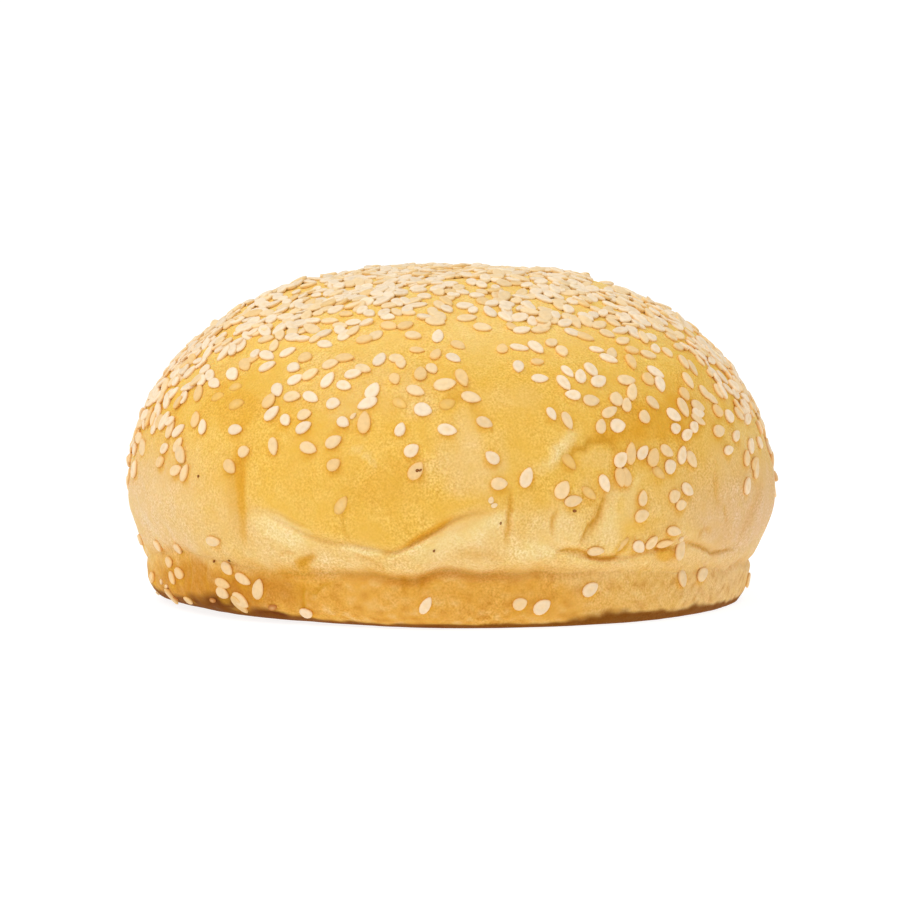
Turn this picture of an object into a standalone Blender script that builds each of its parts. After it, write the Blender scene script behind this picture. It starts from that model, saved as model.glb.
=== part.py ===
"""Sesame burger bun: one baked piece, with its largest seeds fused to the crust.

Metres, +Z up. The origin is in the middle of the flat underside, and the front faces -Y.
An azimuth is in degrees from the front and grows towards +X, the bun's right side.
"""
import math

import bmesh
import bpy
import numpy as np
from mathutils import Matrix, Vector

MM = 0.001
FULL_TURN = 360.0

# Crust, as radius and height
WIDEST_RADIUS = 51.3 * MM
WIDEST_HEIGHT = 18.5 * MM
CROWN_HEIGHT = 52.4 * MM
CROWN_SHIFT = 0.3 * MM
DOME_POWER = 2.3
FOOT_RADIUS = 47.1 * MM
FOOT_BULGE = 0.35 * MM
FOOT_ROUND = 4.2 * MM
BELLY_POWER = 2

# Radius of the flat underside round the bun, as azimuth and millimetres: the left front curls up
UNDERSIDE_STOPS = ((-90, 43.5), (-60, 39.5), (-30, 40.0), (0, 43.5), (45, 45.0), (80, 46.0), (180, 43.0))

# The two long folds, as azimuth and height in millimetres: the waist over the foot, and the fold above it
WAIST_STOPS = ((-90, 6.7), (-56, 10.0), (-42, 8.7), (-30, 7.9), (-15, 8.7), (-8, 7.8), (-1, 9.3), (6, 8.5),
               (18, 8.7), (40, 7.8), (90, 6.7), (130, 8.6), (165, 7.2), (210, 8.8), (245, 7.4))
FOLD_STOPS = ((-60, 20.0), (-34, 17.7), (-23, 14.2), (-15, 12.9), (-9, 12.6), (-4, 15.0), (2, 17.9),
              (8, 18.8), (20, 12.6), (29, 11.1), (40, 11.8), (52, 11.5), (62, 9.9), (95, 12.5), (120, 16.5),
              (150, 13.0), (185, 17.5), (215, 13.2), (240, 12.6), (270, 18.0))

# How deep each fold is cut, as azimuth and millimetres
WAIST_DEPTH_STOPS = ((-90, 0.1), (-56, 0.15), (-36, 0.3), (-12, 0.8), (0, 1.1), (12, 0.8), (24, 0.2),
                     (60, 0.1), (95, 0.4), (130, 0.9), (180, 0.6), (230, 0.8))
FOLD_DEPTH_STOPS = ((-60, 0.0), (-38, 0.1), (-24, 0.7), (-9, 1.0), (0, 1.0), (6, 0.4), (10, 0.0),
                    (15, 0.1), (21, 0.9), (45, 0.8), (60, 0.6), (72, 0.2), (100, 0.0), (125, 0.5),
                    (150, 0.9), (175, 0.3), (195, 0.0), (215, 0.7), (240, 0.8), (262, 0.1))
FOLD_HALF_WIDTH = 0.75 * MM
LIP_OFFSET = 1.9 * MM
LIP_HALF_WIDTH = 1.3 * MM
UPPER_LIP = 0.45
LOWER_LIP = 0.25

# How far dough fills the corner over the foot, as azimuth and millimetres
FILL_STOPS = ((-90, 0.6), (-56, 0.6), (-36, 0.4), (-16, 0.1), (0, 0.0), (14, 0.1), (28, 0.45), (60, 0.6),
              (90, 0.5), (130, 0.1), (180, 0.25), (230, 0.1))
FILL_HALF_WIDTH = 2.4 * MM

# Broad upright valleys between the folds and the seeded top: two ends as azimuth and height in
# millimetres, then half width and depth in millimetres
VALLEYS = (((-41, 26), (-39, 13), 1.7, 0.55),
           ((29, 22), (24, 13), 1.3, 0.70),
           ((-30, 6), (-31, 1), 1.3, 0.60),
           ((74, 20), (66, 11), 1.6, 0.50),
           ((118, 25), (121, 12), 1.7, 0.55),
           ((163, 22), (158, 13), 1.4, 0.60),
           ((199, 27), (203, 14), 1.8, 0.55),
           ((238, 23), (232, 12), 1.5, 0.60))
VALLEY_STEPS = 12

# Broad mounds and hollows of the whole form: middle, half width and height in millimetres
MOUNDS = (((51, 0, 15.5), 8.0, 1.3),
          ((-30, 0, 46.5), 9.0, 0.4),
          ((-4, 0, 53), 9.0, -0.6),
          ((-49, 0, 30), 8.0, -0.5),
          ((-22, 0, 50), 9.0, 0.45),
          ((17, 0, 51), 8.0, 0.3),
          ((22, 43, 27), 12.0, 0.7),
          ((-27, 40, 20), 10.0, 0.5))

# Unevenness of the whole crust: slow waves as wavelength and height
SWELLS = ((70.0 * MM, 0.45 * MM), (30.0 * MM, 0.28 * MM), (14.0 * MM, 0.12 * MM))
WAVES_PER_SWELL = 7
SWELL_SEED = 23

# Mesh of the crust: rows of heights over the underside's edge
SEGMENTS_AROUND = 88
FOOT_ROWS = 3
ROW_GAPS_AT_FOLD = (-1.9 * MM, -0.7 * MM, 0.0, 0.7 * MM, 1.9 * MM)
ROOM_FOR_FOLD_ROWS = 4.2 * MM
SHOULDER_HEIGHT = 27.0 * MM
SHOULDER_ROWS = 3
DOME_ROWS = 9

# Seeds
SEED_LENGTH = 3.1 * MM
SEED_WIDTH = 2.0 * MM
SEED_THICKNESS = 1.0 * MM
SEED_TAPER = 0.3
SEED_SIDES = 7
SEED_SIZE_SPREAD = 0.12
SEED_SINK = 0.08 * MM
SEED_TILT = 9.0
SEED_TOP_RING = 0.58
SEED_TOP_RING_HEIGHT = 0.8
SEED_COUNT = 150
SEED_TRIES = 9000
SEED_TRIES_LOW = 0.25
SEED_DRAW = 5
SEED_GAP_ON_TOP = 5.2 * MM
SEED_GAP_LOW = 9.0 * MM
THICKLY_SEEDED_HEIGHT = 38.0 * MM
THINLY_SEEDED_HEIGHT = 20.0 * MM
LOWEST_SEED_HEIGHT = 3.0 * MM
LOW_SEED_CHANCE = 0.05
SEED_CHANCE_POWER = 1.5

CRUST_COLOUR = (0.83, 0.49, 0.15, 1.0)
CRUST_ROUGHNESS = 0.5
SHARP_ANGLE = 40.0


def remove_everything():
    for item in list(bpy.data.objects):
        bpy.data.objects.remove(item)


def round_the_bun(stops, azimuth):
    """A value that runs smoothly round the bun through stops of azimuth and value."""
    angles, values = np.array(stops, dtype=float).T
    angles = np.concatenate((angles[-2:] - FULL_TURN, angles, angles[:2] + FULL_TURN))
    values = np.concatenate((values[-2:], values, values[:2]))
    slopes = np.gradient(values, angles)
    place = np.mod(azimuth - angles[2], FULL_TURN) + angles[2]
    left = np.clip(np.searchsorted(angles, place, side="right") - 1, 0, len(angles) - 2)
    span = angles[left + 1] - angles[left]
    part = (place - angles[left]) / span
    rise = values[left + 1] - values[left]
    start_bend = slopes[left] * span - rise
    end_bend = rise - slopes[left + 1] * span
    bend = part * (1 - part) * (start_bend * (1 - part) + end_bend * part)
    return values[left] + rise * part + bend


def bell(distance, half_width):
    return np.exp(-(distance / half_width) ** 2)


def waist_height(azimuth):
    return round_the_bun(WAIST_STOPS, azimuth) * MM


def fold_height(azimuth):
    return round_the_bun(FOLD_STOPS, azimuth) * MM


def crust_radius(azimuth, height):
    """Radius of the plain turned form at a height: rounded foot, overhanging belly, dome."""
    waist = waist_height(azimuth)
    underside = round_the_bun(UNDERSIDE_STOPS, azimuth) * MM
    up_foot = np.clip(height / FOOT_ROUND, 0.0, 1.0)
    foot = underside + (FOOT_RADIUS - underside) * np.sqrt(1 - (1 - up_foot) ** 2)
    foot = foot + FOOT_BULGE * np.sin(math.pi * np.clip(height / waist, 0.0, 1.0))
    below_widest = np.clip((WIDEST_HEIGHT - height) / (WIDEST_HEIGHT - waist), 0.0, 1.0)
    belly = WIDEST_RADIUS - (WIDEST_RADIUS - FOOT_RADIUS) * below_widest ** BELLY_POWER
    up_dome = np.clip((height - WIDEST_HEIGHT) / (CROWN_HEIGHT - WIDEST_HEIGHT), 0.0, 1.0)
    dome = WIDEST_RADIUS * (1 - up_dome ** DOME_POWER) ** (1 / DOME_POWER)
    fill = round_the_bun(FILL_STOPS, azimuth) * MM * bell(height - waist, FILL_HALF_WIDTH)
    return fill + np.where(height < waist, foot, np.where(height < WIDEST_HEIGHT, belly, dome))


def long_fold(gap, depth):
    """Relief of a fold at a gap above (or below) its line: a groove between two swollen lips."""
    groove = -depth * bell(gap, FOLD_HALF_WIDTH)
    upper = UPPER_LIP * depth * bell(gap - LIP_OFFSET, LIP_HALF_WIDTH)
    lower = LOWER_LIP * depth * bell(gap + LIP_OFFSET, LIP_HALF_WIDTH)
    return groove + upper + lower


def valley(azimuth, height, top, bottom, half_width, depth):
    """Relief of a broad upright valley that fades out at both ends."""
    relief = np.zeros_like(height)
    for step in range(VALLEY_STEPS):
        part = (step + 0.5) / VALLEY_STEPS
        middle = top[0] + (bottom[0] - top[0]) * part
        level = (top[1] + (bottom[1] - top[1]) * part) * MM
        turn = np.mod(azimuth - middle + FULL_TURN / 2, FULL_TURN) - FULL_TURN / 2
        along = np.radians(turn) * WIDEST_RADIUS
        distance = np.hypot(along, height - level)
        fade = math.sin(math.pi * part) ** 0.5
        relief = np.minimum(relief, -depth * MM * fade * bell(distance, half_width * MM))
    return relief


def mounds(points):
    total = np.zeros(len(points))
    for middle, half_width, height in MOUNDS:
        distance = np.linalg.norm(points - np.array(middle) * MM, axis=1)
        total += height * MM * bell(distance, half_width * MM)
    return total


def swells(points):
    """Slow unevenness of the crust, from seeded waves through space."""
    draw = np.random.default_rng(SWELL_SEED)
    total = np.zeros(len(points))
    for wavelength, height in SWELLS:
        for _ in range(WAVES_PER_SWELL):
            direction = draw.normal(size=3)
            direction /= np.linalg.norm(direction)
            phase = draw.uniform(0.0, 2 * math.pi)
            wave = np.sin(2 * math.pi * (points @ direction) / wavelength + phase)
            total += wave * height / math.sqrt(WAVES_PER_SWELL)
    return total


def plain_crust(azimuth, height):
    """Points of the turned form, before folds and swells."""
    radius = crust_radius(azimuth, height)
    turn = np.radians(azimuth)
    up_dome = np.clip((height - WIDEST_HEIGHT) / (CROWN_HEIGHT - WIDEST_HEIGHT), 0.0, 1.0)
    lean = CROWN_SHIFT * up_dome ** 2
    return np.stack((radius * np.sin(turn) + lean, -radius * np.cos(turn), height), axis=1)


def outward(points):
    """Way that the crust faces, level below the widest height so that the underside stays flat."""
    rise = np.clip(points[:, 2] - WIDEST_HEIGHT, 0.0, None) / (CROWN_HEIGHT - WIDEST_HEIGHT) ** 2
    facing = np.column_stack((points[:, :2] / WIDEST_RADIUS ** 2, rise))
    return facing / np.linalg.norm(facing, axis=1, keepdims=True)


def crust(azimuth, height):
    """Points of the finished crust at azimuths and heights of the turned form."""
    points = plain_crust(azimuth, height)
    relief = swells(points) + mounds(points)
    relief += long_fold(height - waist_height(azimuth), round_the_bun(WAIST_DEPTH_STOPS, azimuth) * MM)
    relief += long_fold(height - fold_height(azimuth), round_the_bun(FOLD_DEPTH_STOPS, azimuth) * MM)
    for top, bottom, half_width, depth in VALLEYS:
        relief += valley(azimuth, height, top, bottom, half_width, depth)
    return points + outward(points) * relief[:, None]


def dome_height(part):
    """Height on the dome at a part, 0 to 1, of the way from its widest ring to its crown."""
    rise = math.sin(part * math.pi / 2) ** (2 / DOME_POWER)
    return WIDEST_HEIGHT + (CROWN_HEIGHT - WIDEST_HEIGHT) * rise


def dome_part(height):
    """Inverse of dome_height."""
    rise = (height - WIDEST_HEIGHT) / (CROWN_HEIGHT - WIDEST_HEIGHT)
    return math.asin(rise ** (DOME_POWER / 2)) / (math.pi / 2)


def row_heights(azimuth):
    """Heights of the crust's rows at each azimuth, underside first, crowded at the two folds."""
    rows = []
    for row in range(FOOT_ROWS + 1):
        rows.append(np.full_like(azimuth, FOOT_ROUND * (1 - math.cos(row / FOOT_ROWS * math.pi / 2))))
    waist = waist_height(azimuth)
    fold = fold_height(azimuth)
    squeeze = np.minimum(1.0, (fold - waist) / ROOM_FOR_FOLD_ROWS)
    for gap in ROW_GAPS_AT_FOLD:
        rows.append(waist + gap * squeeze)
    for gap in ROW_GAPS_AT_FOLD:
        rows.append(fold + gap * squeeze)
    last = rows[-1]
    for row in range(1, SHOULDER_ROWS + 1):
        rows.append(last + (SHOULDER_HEIGHT - last) * row / SHOULDER_ROWS)
    start = dome_part(SHOULDER_HEIGHT)
    for row in range(1, DOME_ROWS):
        rows.append(np.full_like(azimuth, dome_height(start + (1 - start) * row / DOME_ROWS)))
    return rows


def make_crust():
    """Closed mesh of the bare bun."""
    azimuth = np.arange(SEGMENTS_AROUND) * FULL_TURN / SEGMENTS_AROUND
    shape = bmesh.new()
    rings = []
    for heights in row_heights(azimuth):
        rings.append([shape.verts.new(point) for point in crust(azimuth, heights)])
    for lower, upper in zip(rings, rings[1:]):
        for here in range(SEGMENTS_AROUND):
            there = (here + 1) % SEGMENTS_AROUND
            shape.faces.new((lower[here], lower[there], upper[there], upper[here]))
    crown = shape.verts.new(crust(np.zeros(1), np.full(1, CROWN_HEIGHT))[0])
    middle = shape.verts.new((0.0, 0.0, 0.0))
    for here in range(SEGMENTS_AROUND):
        there = (here + 1) % SEGMENTS_AROUND
        shape.faces.new((rings[-1][here], rings[-1][there], crown))
        shape.faces.new((rings[0][there], rings[0][here], middle))
    return finished_object("bun", shape)


def finished_object(name, shape):
    mesh = bpy.data.meshes.new(name)
    shape.to_mesh(mesh)
    shape.free()
    item = bpy.data.objects.new(name, mesh)
    bpy.context.scene.collection.objects.link(item)
    return item


def seed_chance(height):
    """How thickly a height is seeded, from 0 to 1: full on top, thinning out down the side."""
    part = (height - THINLY_SEEDED_HEIGHT) / (THICKLY_SEEDED_HEIGHT - THINLY_SEEDED_HEIGHT)
    return LOW_SEED_CHANCE + (1 - LOW_SEED_CHANCE) * np.clip(part, 0.0, 1.0) ** SEED_CHANCE_POWER


def seed_places():
    """Seeded draw of evenly spread places for seeds: points, ways out and turns."""
    draw = np.random.default_rng(SEED_DRAW)
    azimuth = draw.uniform(0.0, FULL_TURN, SEED_TRIES)
    climb = np.array([dome_height(part) for part in draw.uniform(size=SEED_TRIES)])
    low = draw.uniform(LOWEST_SEED_HEIGHT, WIDEST_HEIGHT, SEED_TRIES)
    height = np.where(draw.uniform(size=SEED_TRIES) < SEED_TRIES_LOW, low, climb)
    room = crust_radius(azimuth, height) / WIDEST_RADIUS
    keep = draw.uniform(size=SEED_TRIES) < seed_chance(height) * room
    azimuth = azimuth[keep]
    height = height[keep]
    points = crust(azimuth, height)
    gaps = SEED_GAP_LOW + (SEED_GAP_ON_TOP - SEED_GAP_LOW) * seed_chance(height)
    chosen = [0]
    for index, point in enumerate(points):
        away = np.linalg.norm(points[chosen] - point, axis=1)
        if len(chosen) < SEED_COUNT and away.min() > gaps[index]:
            chosen.append(index)
    return points[chosen], outward(points[chosen]), draw


def seed_mesh(draw):
    """One flat teardrop seed lying in the XY plane, its point towards +X."""
    size = 1.0 + draw.uniform(-SEED_SIZE_SPREAD, SEED_SIZE_SPREAD)
    shape = bmesh.new()
    outline = []
    inner = []
    for side in range(SEED_SIDES):
        angle = 2 * math.pi * side / SEED_SIDES
        along = math.cos(angle) * SEED_LENGTH / 2 * size
        across = math.sin(angle) * SEED_WIDTH / 2 * size * (1 - SEED_TAPER * math.cos(angle))
        outline.append(shape.verts.new((along, across, 0.0)))
        top = SEED_THICKNESS / 2 * SEED_TOP_RING_HEIGHT
        inner.append(shape.verts.new((along * SEED_TOP_RING, across * SEED_TOP_RING, top)))
    above = shape.verts.new((0.0, 0.0, SEED_THICKNESS / 2))
    below = shape.verts.new((0.0, 0.0, -SEED_THICKNESS))
    for here in range(SEED_SIDES):
        there = (here + 1) % SEED_SIDES
        shape.faces.new((outline[here], outline[there], inner[there], inner[here]))
        shape.faces.new((inner[here], inner[there], above))
        shape.faces.new((outline[there], outline[here], below))
    return shape


def seed_pose(point, way_out, draw):
    """Placement of a seed pressed into the crust, at any turn and a slight tilt."""
    turn = Matrix.Rotation(draw.uniform(0.0, 2 * math.pi), 4, "Z")
    tilt_along = Matrix.Rotation(math.radians(draw.uniform(-SEED_TILT, SEED_TILT)), 4, "Y")
    tilt_across = Matrix.Rotation(math.radians(draw.uniform(-SEED_TILT, SEED_TILT)), 4, "X")
    upright = Vector(way_out).to_track_quat("Z", "Y").to_matrix().to_4x4()
    place = Matrix.Translation(Vector(point - way_out * SEED_SINK))
    return place @ upright @ turn @ tilt_along @ tilt_across


def make_seeds():
    """Loose seeds on the crust, in a collection of their own."""
    group = bpy.data.collections.new("seeds")
    bpy.context.scene.collection.children.link(group)
    points, ways_out, draw = seed_places()
    for number, (point, way_out) in enumerate(zip(points, ways_out)):
        shape = seed_mesh(draw)
        shape.transform(seed_pose(point, way_out, draw))
        seed = finished_object(f"seed_{number}", shape)
        bpy.context.scene.collection.objects.unlink(seed)
        group.objects.link(seed)
    return group


def fuse(bun, group):
    """Join the seeds to the bun as one closed solid, and remove the loose ones."""
    union = bun.modifiers.new("seeds", "BOOLEAN")
    union.operation = "UNION"
    union.operand_type = "COLLECTION"
    union.collection = group
    union.solver = "EXACT"
    view = bpy.context.evaluated_depsgraph_get()
    joined = bpy.data.meshes.new_from_object(bun.evaluated_get(view))
    bun.modifiers.remove(union)
    bun.data = joined
    joined.name = bun.name
    for seed in list(group.objects):
        bpy.data.objects.remove(seed)
    bpy.data.collections.remove(group)


def crust_material():
    material = bpy.data.materials.new("golden_crust")
    material.use_nodes = True
    shader = material.node_tree.nodes["Principled BSDF"]
    shader.inputs["Base Color"].default_value = CRUST_COLOUR
    shader.inputs["Roughness"].default_value = CRUST_ROUGHNESS
    shader.inputs["Metallic"].default_value = 0.0
    return material


def main():
    remove_everything()
    bun = make_crust()
    fuse(bun, make_seeds())
    bun.data.materials.clear()
    bun.data.materials.append(crust_material())
    bun.data.shade_smooth()
    bun.data.set_sharp_from_angle(angle=math.radians(SHARP_ANGLE))


main()
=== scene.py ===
"""Looks of the sesame burger bun: its crust and folds, the covering of seeds, and a pale studio.

Metres, +Z up, the front towards -Y. An azimuth is in degrees from the front and grows towards +X.
"""

import math
from collections import namedtuple

import bpy
import numpy as np
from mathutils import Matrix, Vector
from mathutils.kdtree import KDTree


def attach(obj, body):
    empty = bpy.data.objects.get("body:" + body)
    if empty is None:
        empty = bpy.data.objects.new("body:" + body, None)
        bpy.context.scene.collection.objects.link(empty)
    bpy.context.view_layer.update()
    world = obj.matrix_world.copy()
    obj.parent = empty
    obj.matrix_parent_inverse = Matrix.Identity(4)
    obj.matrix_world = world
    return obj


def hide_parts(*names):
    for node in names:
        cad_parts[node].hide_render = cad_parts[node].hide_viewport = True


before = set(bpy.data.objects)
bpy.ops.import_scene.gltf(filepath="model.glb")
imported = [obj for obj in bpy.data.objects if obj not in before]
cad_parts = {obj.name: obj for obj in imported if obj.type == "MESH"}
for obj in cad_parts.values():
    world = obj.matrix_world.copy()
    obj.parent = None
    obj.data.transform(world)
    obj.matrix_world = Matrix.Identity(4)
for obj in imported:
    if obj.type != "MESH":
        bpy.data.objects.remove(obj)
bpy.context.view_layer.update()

MM = 0.001
FULL_TURN = 360.0

# Crust, as radius and height
WIDEST_RADIUS = 51.3 * MM
WIDEST_HEIGHT = 18.5 * MM
CROWN_HEIGHT = 52.4 * MM
DOME_RISE = CROWN_HEIGHT - WIDEST_HEIGHT
CROWN_SHIFT = 0.3 * MM
DOME_POWER = 2.3
FOOT_RADIUS = 47.1 * MM
FOOT_BULGE = 0.35 * MM
FOOT_ROUND = 4.2 * MM
BELLY_POWER = 2

# Radius of the flat underside round the bun, as azimuth and millimetres: the left front curls up
UNDERSIDE_STOPS = ((-90, 43.5), (-60, 39.5), (-30, 40.0), (0, 43.5), (45, 45.0), (80, 46.0), (180, 43.0))

# The two long folds, as azimuth and height in millimetres: the waist over the foot, and the fold
# above it
WAIST_STOPS = ((-90, 6.7), (-56, 10.0), (-42, 8.7), (-30, 7.9), (-15, 8.7), (-8, 7.8), (-1, 9.3),
               (6, 8.5), (18, 8.7), (40, 7.8), (90, 6.7), (130, 8.6), (165, 7.2), (210, 8.8),
               (245, 7.4))
FOLD_STOPS = ((-60, 20.0), (-34, 17.7), (-23, 14.2), (-15, 12.9), (-9, 12.6), (-4, 15.0), (2, 17.9),
              (8, 18.8), (20, 12.6), (29, 11.1), (40, 11.8), (52, 11.5), (62, 9.9), (95, 12.5),
              (120, 16.5), (150, 13.0), (185, 17.5), (215, 13.2), (240, 12.6), (270, 18.0))

# How deep each fold is cut, as azimuth and millimetres
WAIST_DEPTH_STOPS = ((-90, 0.1), (-56, 0.15), (-36, 0.3), (-12, 0.65), (0, 0.9), (12, 0.6), (24, 0.2),
                     (60, 0.1), (95, 0.4), (130, 0.9), (180, 0.6), (230, 0.8))
FOLD_DEPTH_STOPS = ((-60, 0.0), (-38, 0.1), (-27, 0.45), (-15, 0.5), (-7, 0.65), (0, 0.6), (5, 0.3),
                    (9, 0.0), (16, 0.0), (22, 0.3), (45, 0.3), (60, 0.25), (72, 0.1), (100, 0.0),
                    (125, 0.5), (150, 0.9), (175, 0.3), (195, 0.0), (215, 0.7), (240, 0.8), (262, 0.1))

# Width of the two folds, and the swollen lips above and below each: place over the fold, half width,
# and height as a share of the fold's depth
WAIST_HALF_WIDTH = 0.9 * MM
FOLD_HALF_WIDTH = 0.5 * MM
UPPER_LIP = (1.8 * MM, 1.3 * MM, 0.35)
LOWER_LIP = (-1.2 * MM, 0.8 * MM, 0.45)

# Small ups and downs of the folds' lines, as wavelength and height
FOLD_WANDER = ((11.0 * MM, 0.25 * MM), (5.0 * MM, 0.14 * MM))
FOLD_WANDER_SEED = 6

# How far dough fills the corner over the foot, as azimuth and millimetres
FILL_STOPS = ((-90, 0.6), (-56, 0.6), (-36, 0.4), (-16, 0.1), (0, 0.0), (14, 0.1), (28, 0.45), (60, 0.6),
              (90, 0.5), (130, 0.1), (180, 0.25), (230, 0.1))
FILL_HALF_WIDTH = 2.4 * MM

# Broad upright valleys between the folds and the seeded top: two ends as azimuth and height in
# millimetres, then half width and depth in millimetres
VALLEYS = (((-41, 26), (-39, 13), 1.7, 0.55),
           ((29, 22), (24, 13), 1.3, 0.70),
           ((-30, 6), (-31, 1), 1.3, 0.60),
           ((74, 20), (66, 11), 1.6, 0.50),
           ((118, 25), (121, 12), 1.7, 0.55),
           ((163, 22), (158, 13), 1.4, 0.60),
           ((199, 27), (203, 14), 1.8, 0.55),
           ((238, 23), (232, 12), 1.5, 0.60))
VALLEY_STEPS = 12

# Broad mounds and hollows of the whole form: middle, half width and height in millimetres
MOUNDS = (((51, 0, 15.5), 8.0, 1.3),
          ((-30, 0, 46.5), 9.0, 0.8),
          ((-4, 0, 53), 9.0, -0.6),
          ((-49, 0, 30), 8.0, -0.5),
          ((-22, 0, 50), 9.0, 0.75),
          ((17, 0, 51), 8.0, 0.65),
          ((22, 43, 27), 12.0, 0.7),
          ((-27, 40, 20), 10.0, 0.5))

# Unevenness of the whole crust: slow waves as wavelength and height, then fine ones
SWELLS = ((70.0 * MM, 0.45 * MM), (30.0 * MM, 0.28 * MM), (14.0 * MM, 0.12 * MM))
WAVES_PER_SWELL = 7
SWELL_SEED = 23
FINE_SWELLS = ((8.0 * MM, 0.09 * MM), (4.0 * MM, 0.05 * MM), (2.2 * MM, 0.025 * MM))
FINE_SWELL_SEED = 4

# Camera, from the photograph: its frame in pixels, the size of one on the bun, the camera's distance
# and rise in degrees, and the height that it aims at. The sensor is in millimetres.
PHOTO_PIXELS = 900
PIXEL = 0.1607 * MM
CAMERA_DISTANCE = 1.0
CAMERA_RISE = 5.0
AIM_HEIGHT = 23.8 * MM
SENSOR_WIDTH = 36.0

# Mesh of the crust: points round it, which crowd at the front, and rows between the levels that the
# folds set. From the shoulder up every other point goes on, and the underside has rings.
POINTS_AROUND = 960
FRONT_CROWDING = 0.25
FOOT_ROWS = 12
FOLD_REACH = 1.9 * MM
ROOM_FOR_FOLD_ROWS = 4.2 * MM
SHOULDER_HEIGHT = 27.0 * MM
ROWS_BETWEEN_LEVELS = (7, 14, 8, 15, 17)
BODY_ROWS = FOOT_ROWS + sum(ROWS_BETWEEN_LEVELS)
DOME_ROWS = 44
UNDERSIDE_RINGS = 4

# Fine creases seen in the photograph, and its ridges, which have a negative depth: points in its
# pixels, then half width and depth in millimetres
WRINKLES = (
    (((511, 488), (510, 510), (508, 528), (506, 543)), 0.45, 0.40),
    (((558, 511), (552, 521), (553, 533)), 0.28, 0.28),
    (((534, 470), (549, 466), (556, 453), (566, 440), (577, 433)), 0.8, -0.40),
    (((562, 459), (572, 452), (583, 447), (592, 441), (606, 441), (619, 446)), 0.5, 0.50),
    (((604, 495), (598, 517), (587, 528), (581, 543)), 0.32, 0.45),
    (((614, 490), (607, 512), (596, 536)), 1.0, -0.25),
    (((557, 558), (558, 551), (569, 549), (583, 551), (590, 556), (603, 559), (616, 557), (621, 549),
      (629, 540), (637, 538)), 0.30, 0.45),
    (((642, 547), (657, 548), (676, 548)), 0.30, 0.45),
    (((684, 540), (700, 547), (712, 553), (731, 549)), 0.30, 0.45),
    (((565, 556), (580, 560), (600, 566)), 0.9, -0.25),
    (((698, 541), (700, 532), (707, 529), (712, 534)), 0.28, 0.25),
    (((724, 508), (726, 515), (727, 524)), 0.32, 0.28),
    (((714, 470), (716, 494), (722, 508)), 0.6, 0.20),
    (((633, 486), (638, 479), (646, 474)), 0.6, -0.22),
    (((267, 509), (281, 516), (295, 523), (310, 528)), 0.30, 0.20),
    (((278, 556), (286, 551), (297, 553)), 0.30, 0.22),
    (((296, 567), (303, 562), (314, 555)), 0.65, 0.50),
    (((304, 584), (302, 600), (304, 616)), 0.40, 0.42),
    (((304, 590), (313, 594), (322, 587), (335, 580)), 0.40, 0.38),
    (((189, 556), (190, 575), (189, 590)), 0.35, 0.30),
    (((206, 562), (204, 578), (208, 592)), 0.40, 0.20),
    (((403, 577), (405, 588)), 0.70, 0.35),
    (((421, 580), (422, 592)), 0.45, 0.35),
    (((342, 512), (343, 527), (349, 539)), 0.30, 0.22),
    (((349, 545), (359, 551), (370, 552), (384, 550)), 0.45, -0.35),
    (((391, 556), (401, 554), (412, 549), (423, 543), (436, 537)), 0.45, -0.35),
    (((353, 552), (370, 560), (384, 569)), 0.45, 0.22),
    (((240, 452), (242, 475), (244, 500), (244, 520)), 0.5, 0.12),
    (((350, 448), (360, 452), (370, 459), (377, 467)), 0.40, -0.22),
    (((432, 392), (470, 400), (482, 420)), 0.9, 0.22),
    (((455, 556), (480, 552), (505, 560)), 0.8, 0.20),
)
WRINKLE_STEP_PIXELS = 1.5

# How far a crease is felt from its line, as a number of half widths
CREASE_REACH = 3

# Creases on the sides that the photograph doesn't show, drawn by a seeded rule: azimuths and heights
# where they start, spread of their slant in radians, lengths, spread of their bow in degrees, half
# widths and depths. Lengths are in millimetres.
HIDDEN_WRINKLES = 34
HIDDEN_WRINKLE_SEED = 8
HIDDEN_STEPS = 24
HIDDEN_AZIMUTHS = (84.0, 276.0)
HIDDEN_HEIGHTS = (5.0, 25.0)
HIDDEN_LOWEST = 1.0
HIDDEN_SLANT = 0.5
HIDDEN_LENGTHS = (3.0, 9.0)
HIDDEN_BOW = 1.2
HIDDEN_HALF_WIDTHS = (0.3, 0.6)
HIDDEN_DEPTHS = (0.2, 0.5)

# Small pleats of the stretched band between the waist and the fold, as wavelength and height
PLEATS = ((4.5 * MM, 0.07 * MM), (2.0 * MM, 0.05 * MM))
PLEAT_LEAN = 0.6
PLEAT_SEED = 11

# How cream the stretched band under the fold is, as azimuth and strength
PALE_STOPS = ((-90, 0.55), (-60, 0.25), (-35, 0.95), (-15, 0.85), (5, 1.0), (16, 0.75), (27, 1.0),
              (40, 0.7), (65, 0.45), (90, 0.5), (125, 0.9), (160, 0.5), (200, 0.8), (240, 0.5))

# Browning where the foot stood on the tray, darkened further by painted contact shadow along the floor:
# how high it reaches, as azimuth and millimetres, how uneven that is, how far below and above that
# height it fades, and its strength
BROWN_STOPS = ((-90, 2.0), (-76, 2.5), (-57, 2.3), (-50, 2.3), (-44, 1.6), (-36, 1.9), (-30, 1.4),
               (-20, 1.1), (-2, 0.9), (14, 1.0), (20, 1.1), (28, 1.7), (38, 2.1), (47, 2.2),
               (57, 1.8), (75, 1.2), (85, 1.2), (120, 0.8), (160, 1.5), (200, 0.8), (240, 1.6))
BROWN_WAVES = ((7.0 * MM, 0.25), (2.6 * MM, 0.10))
BROWN_LIMITS = (0.4, 1.6)
BROWN_FADE = (0.6, 1.15)
BROWN_SHARE = 0.95
BROWN_SEED = 9

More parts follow.
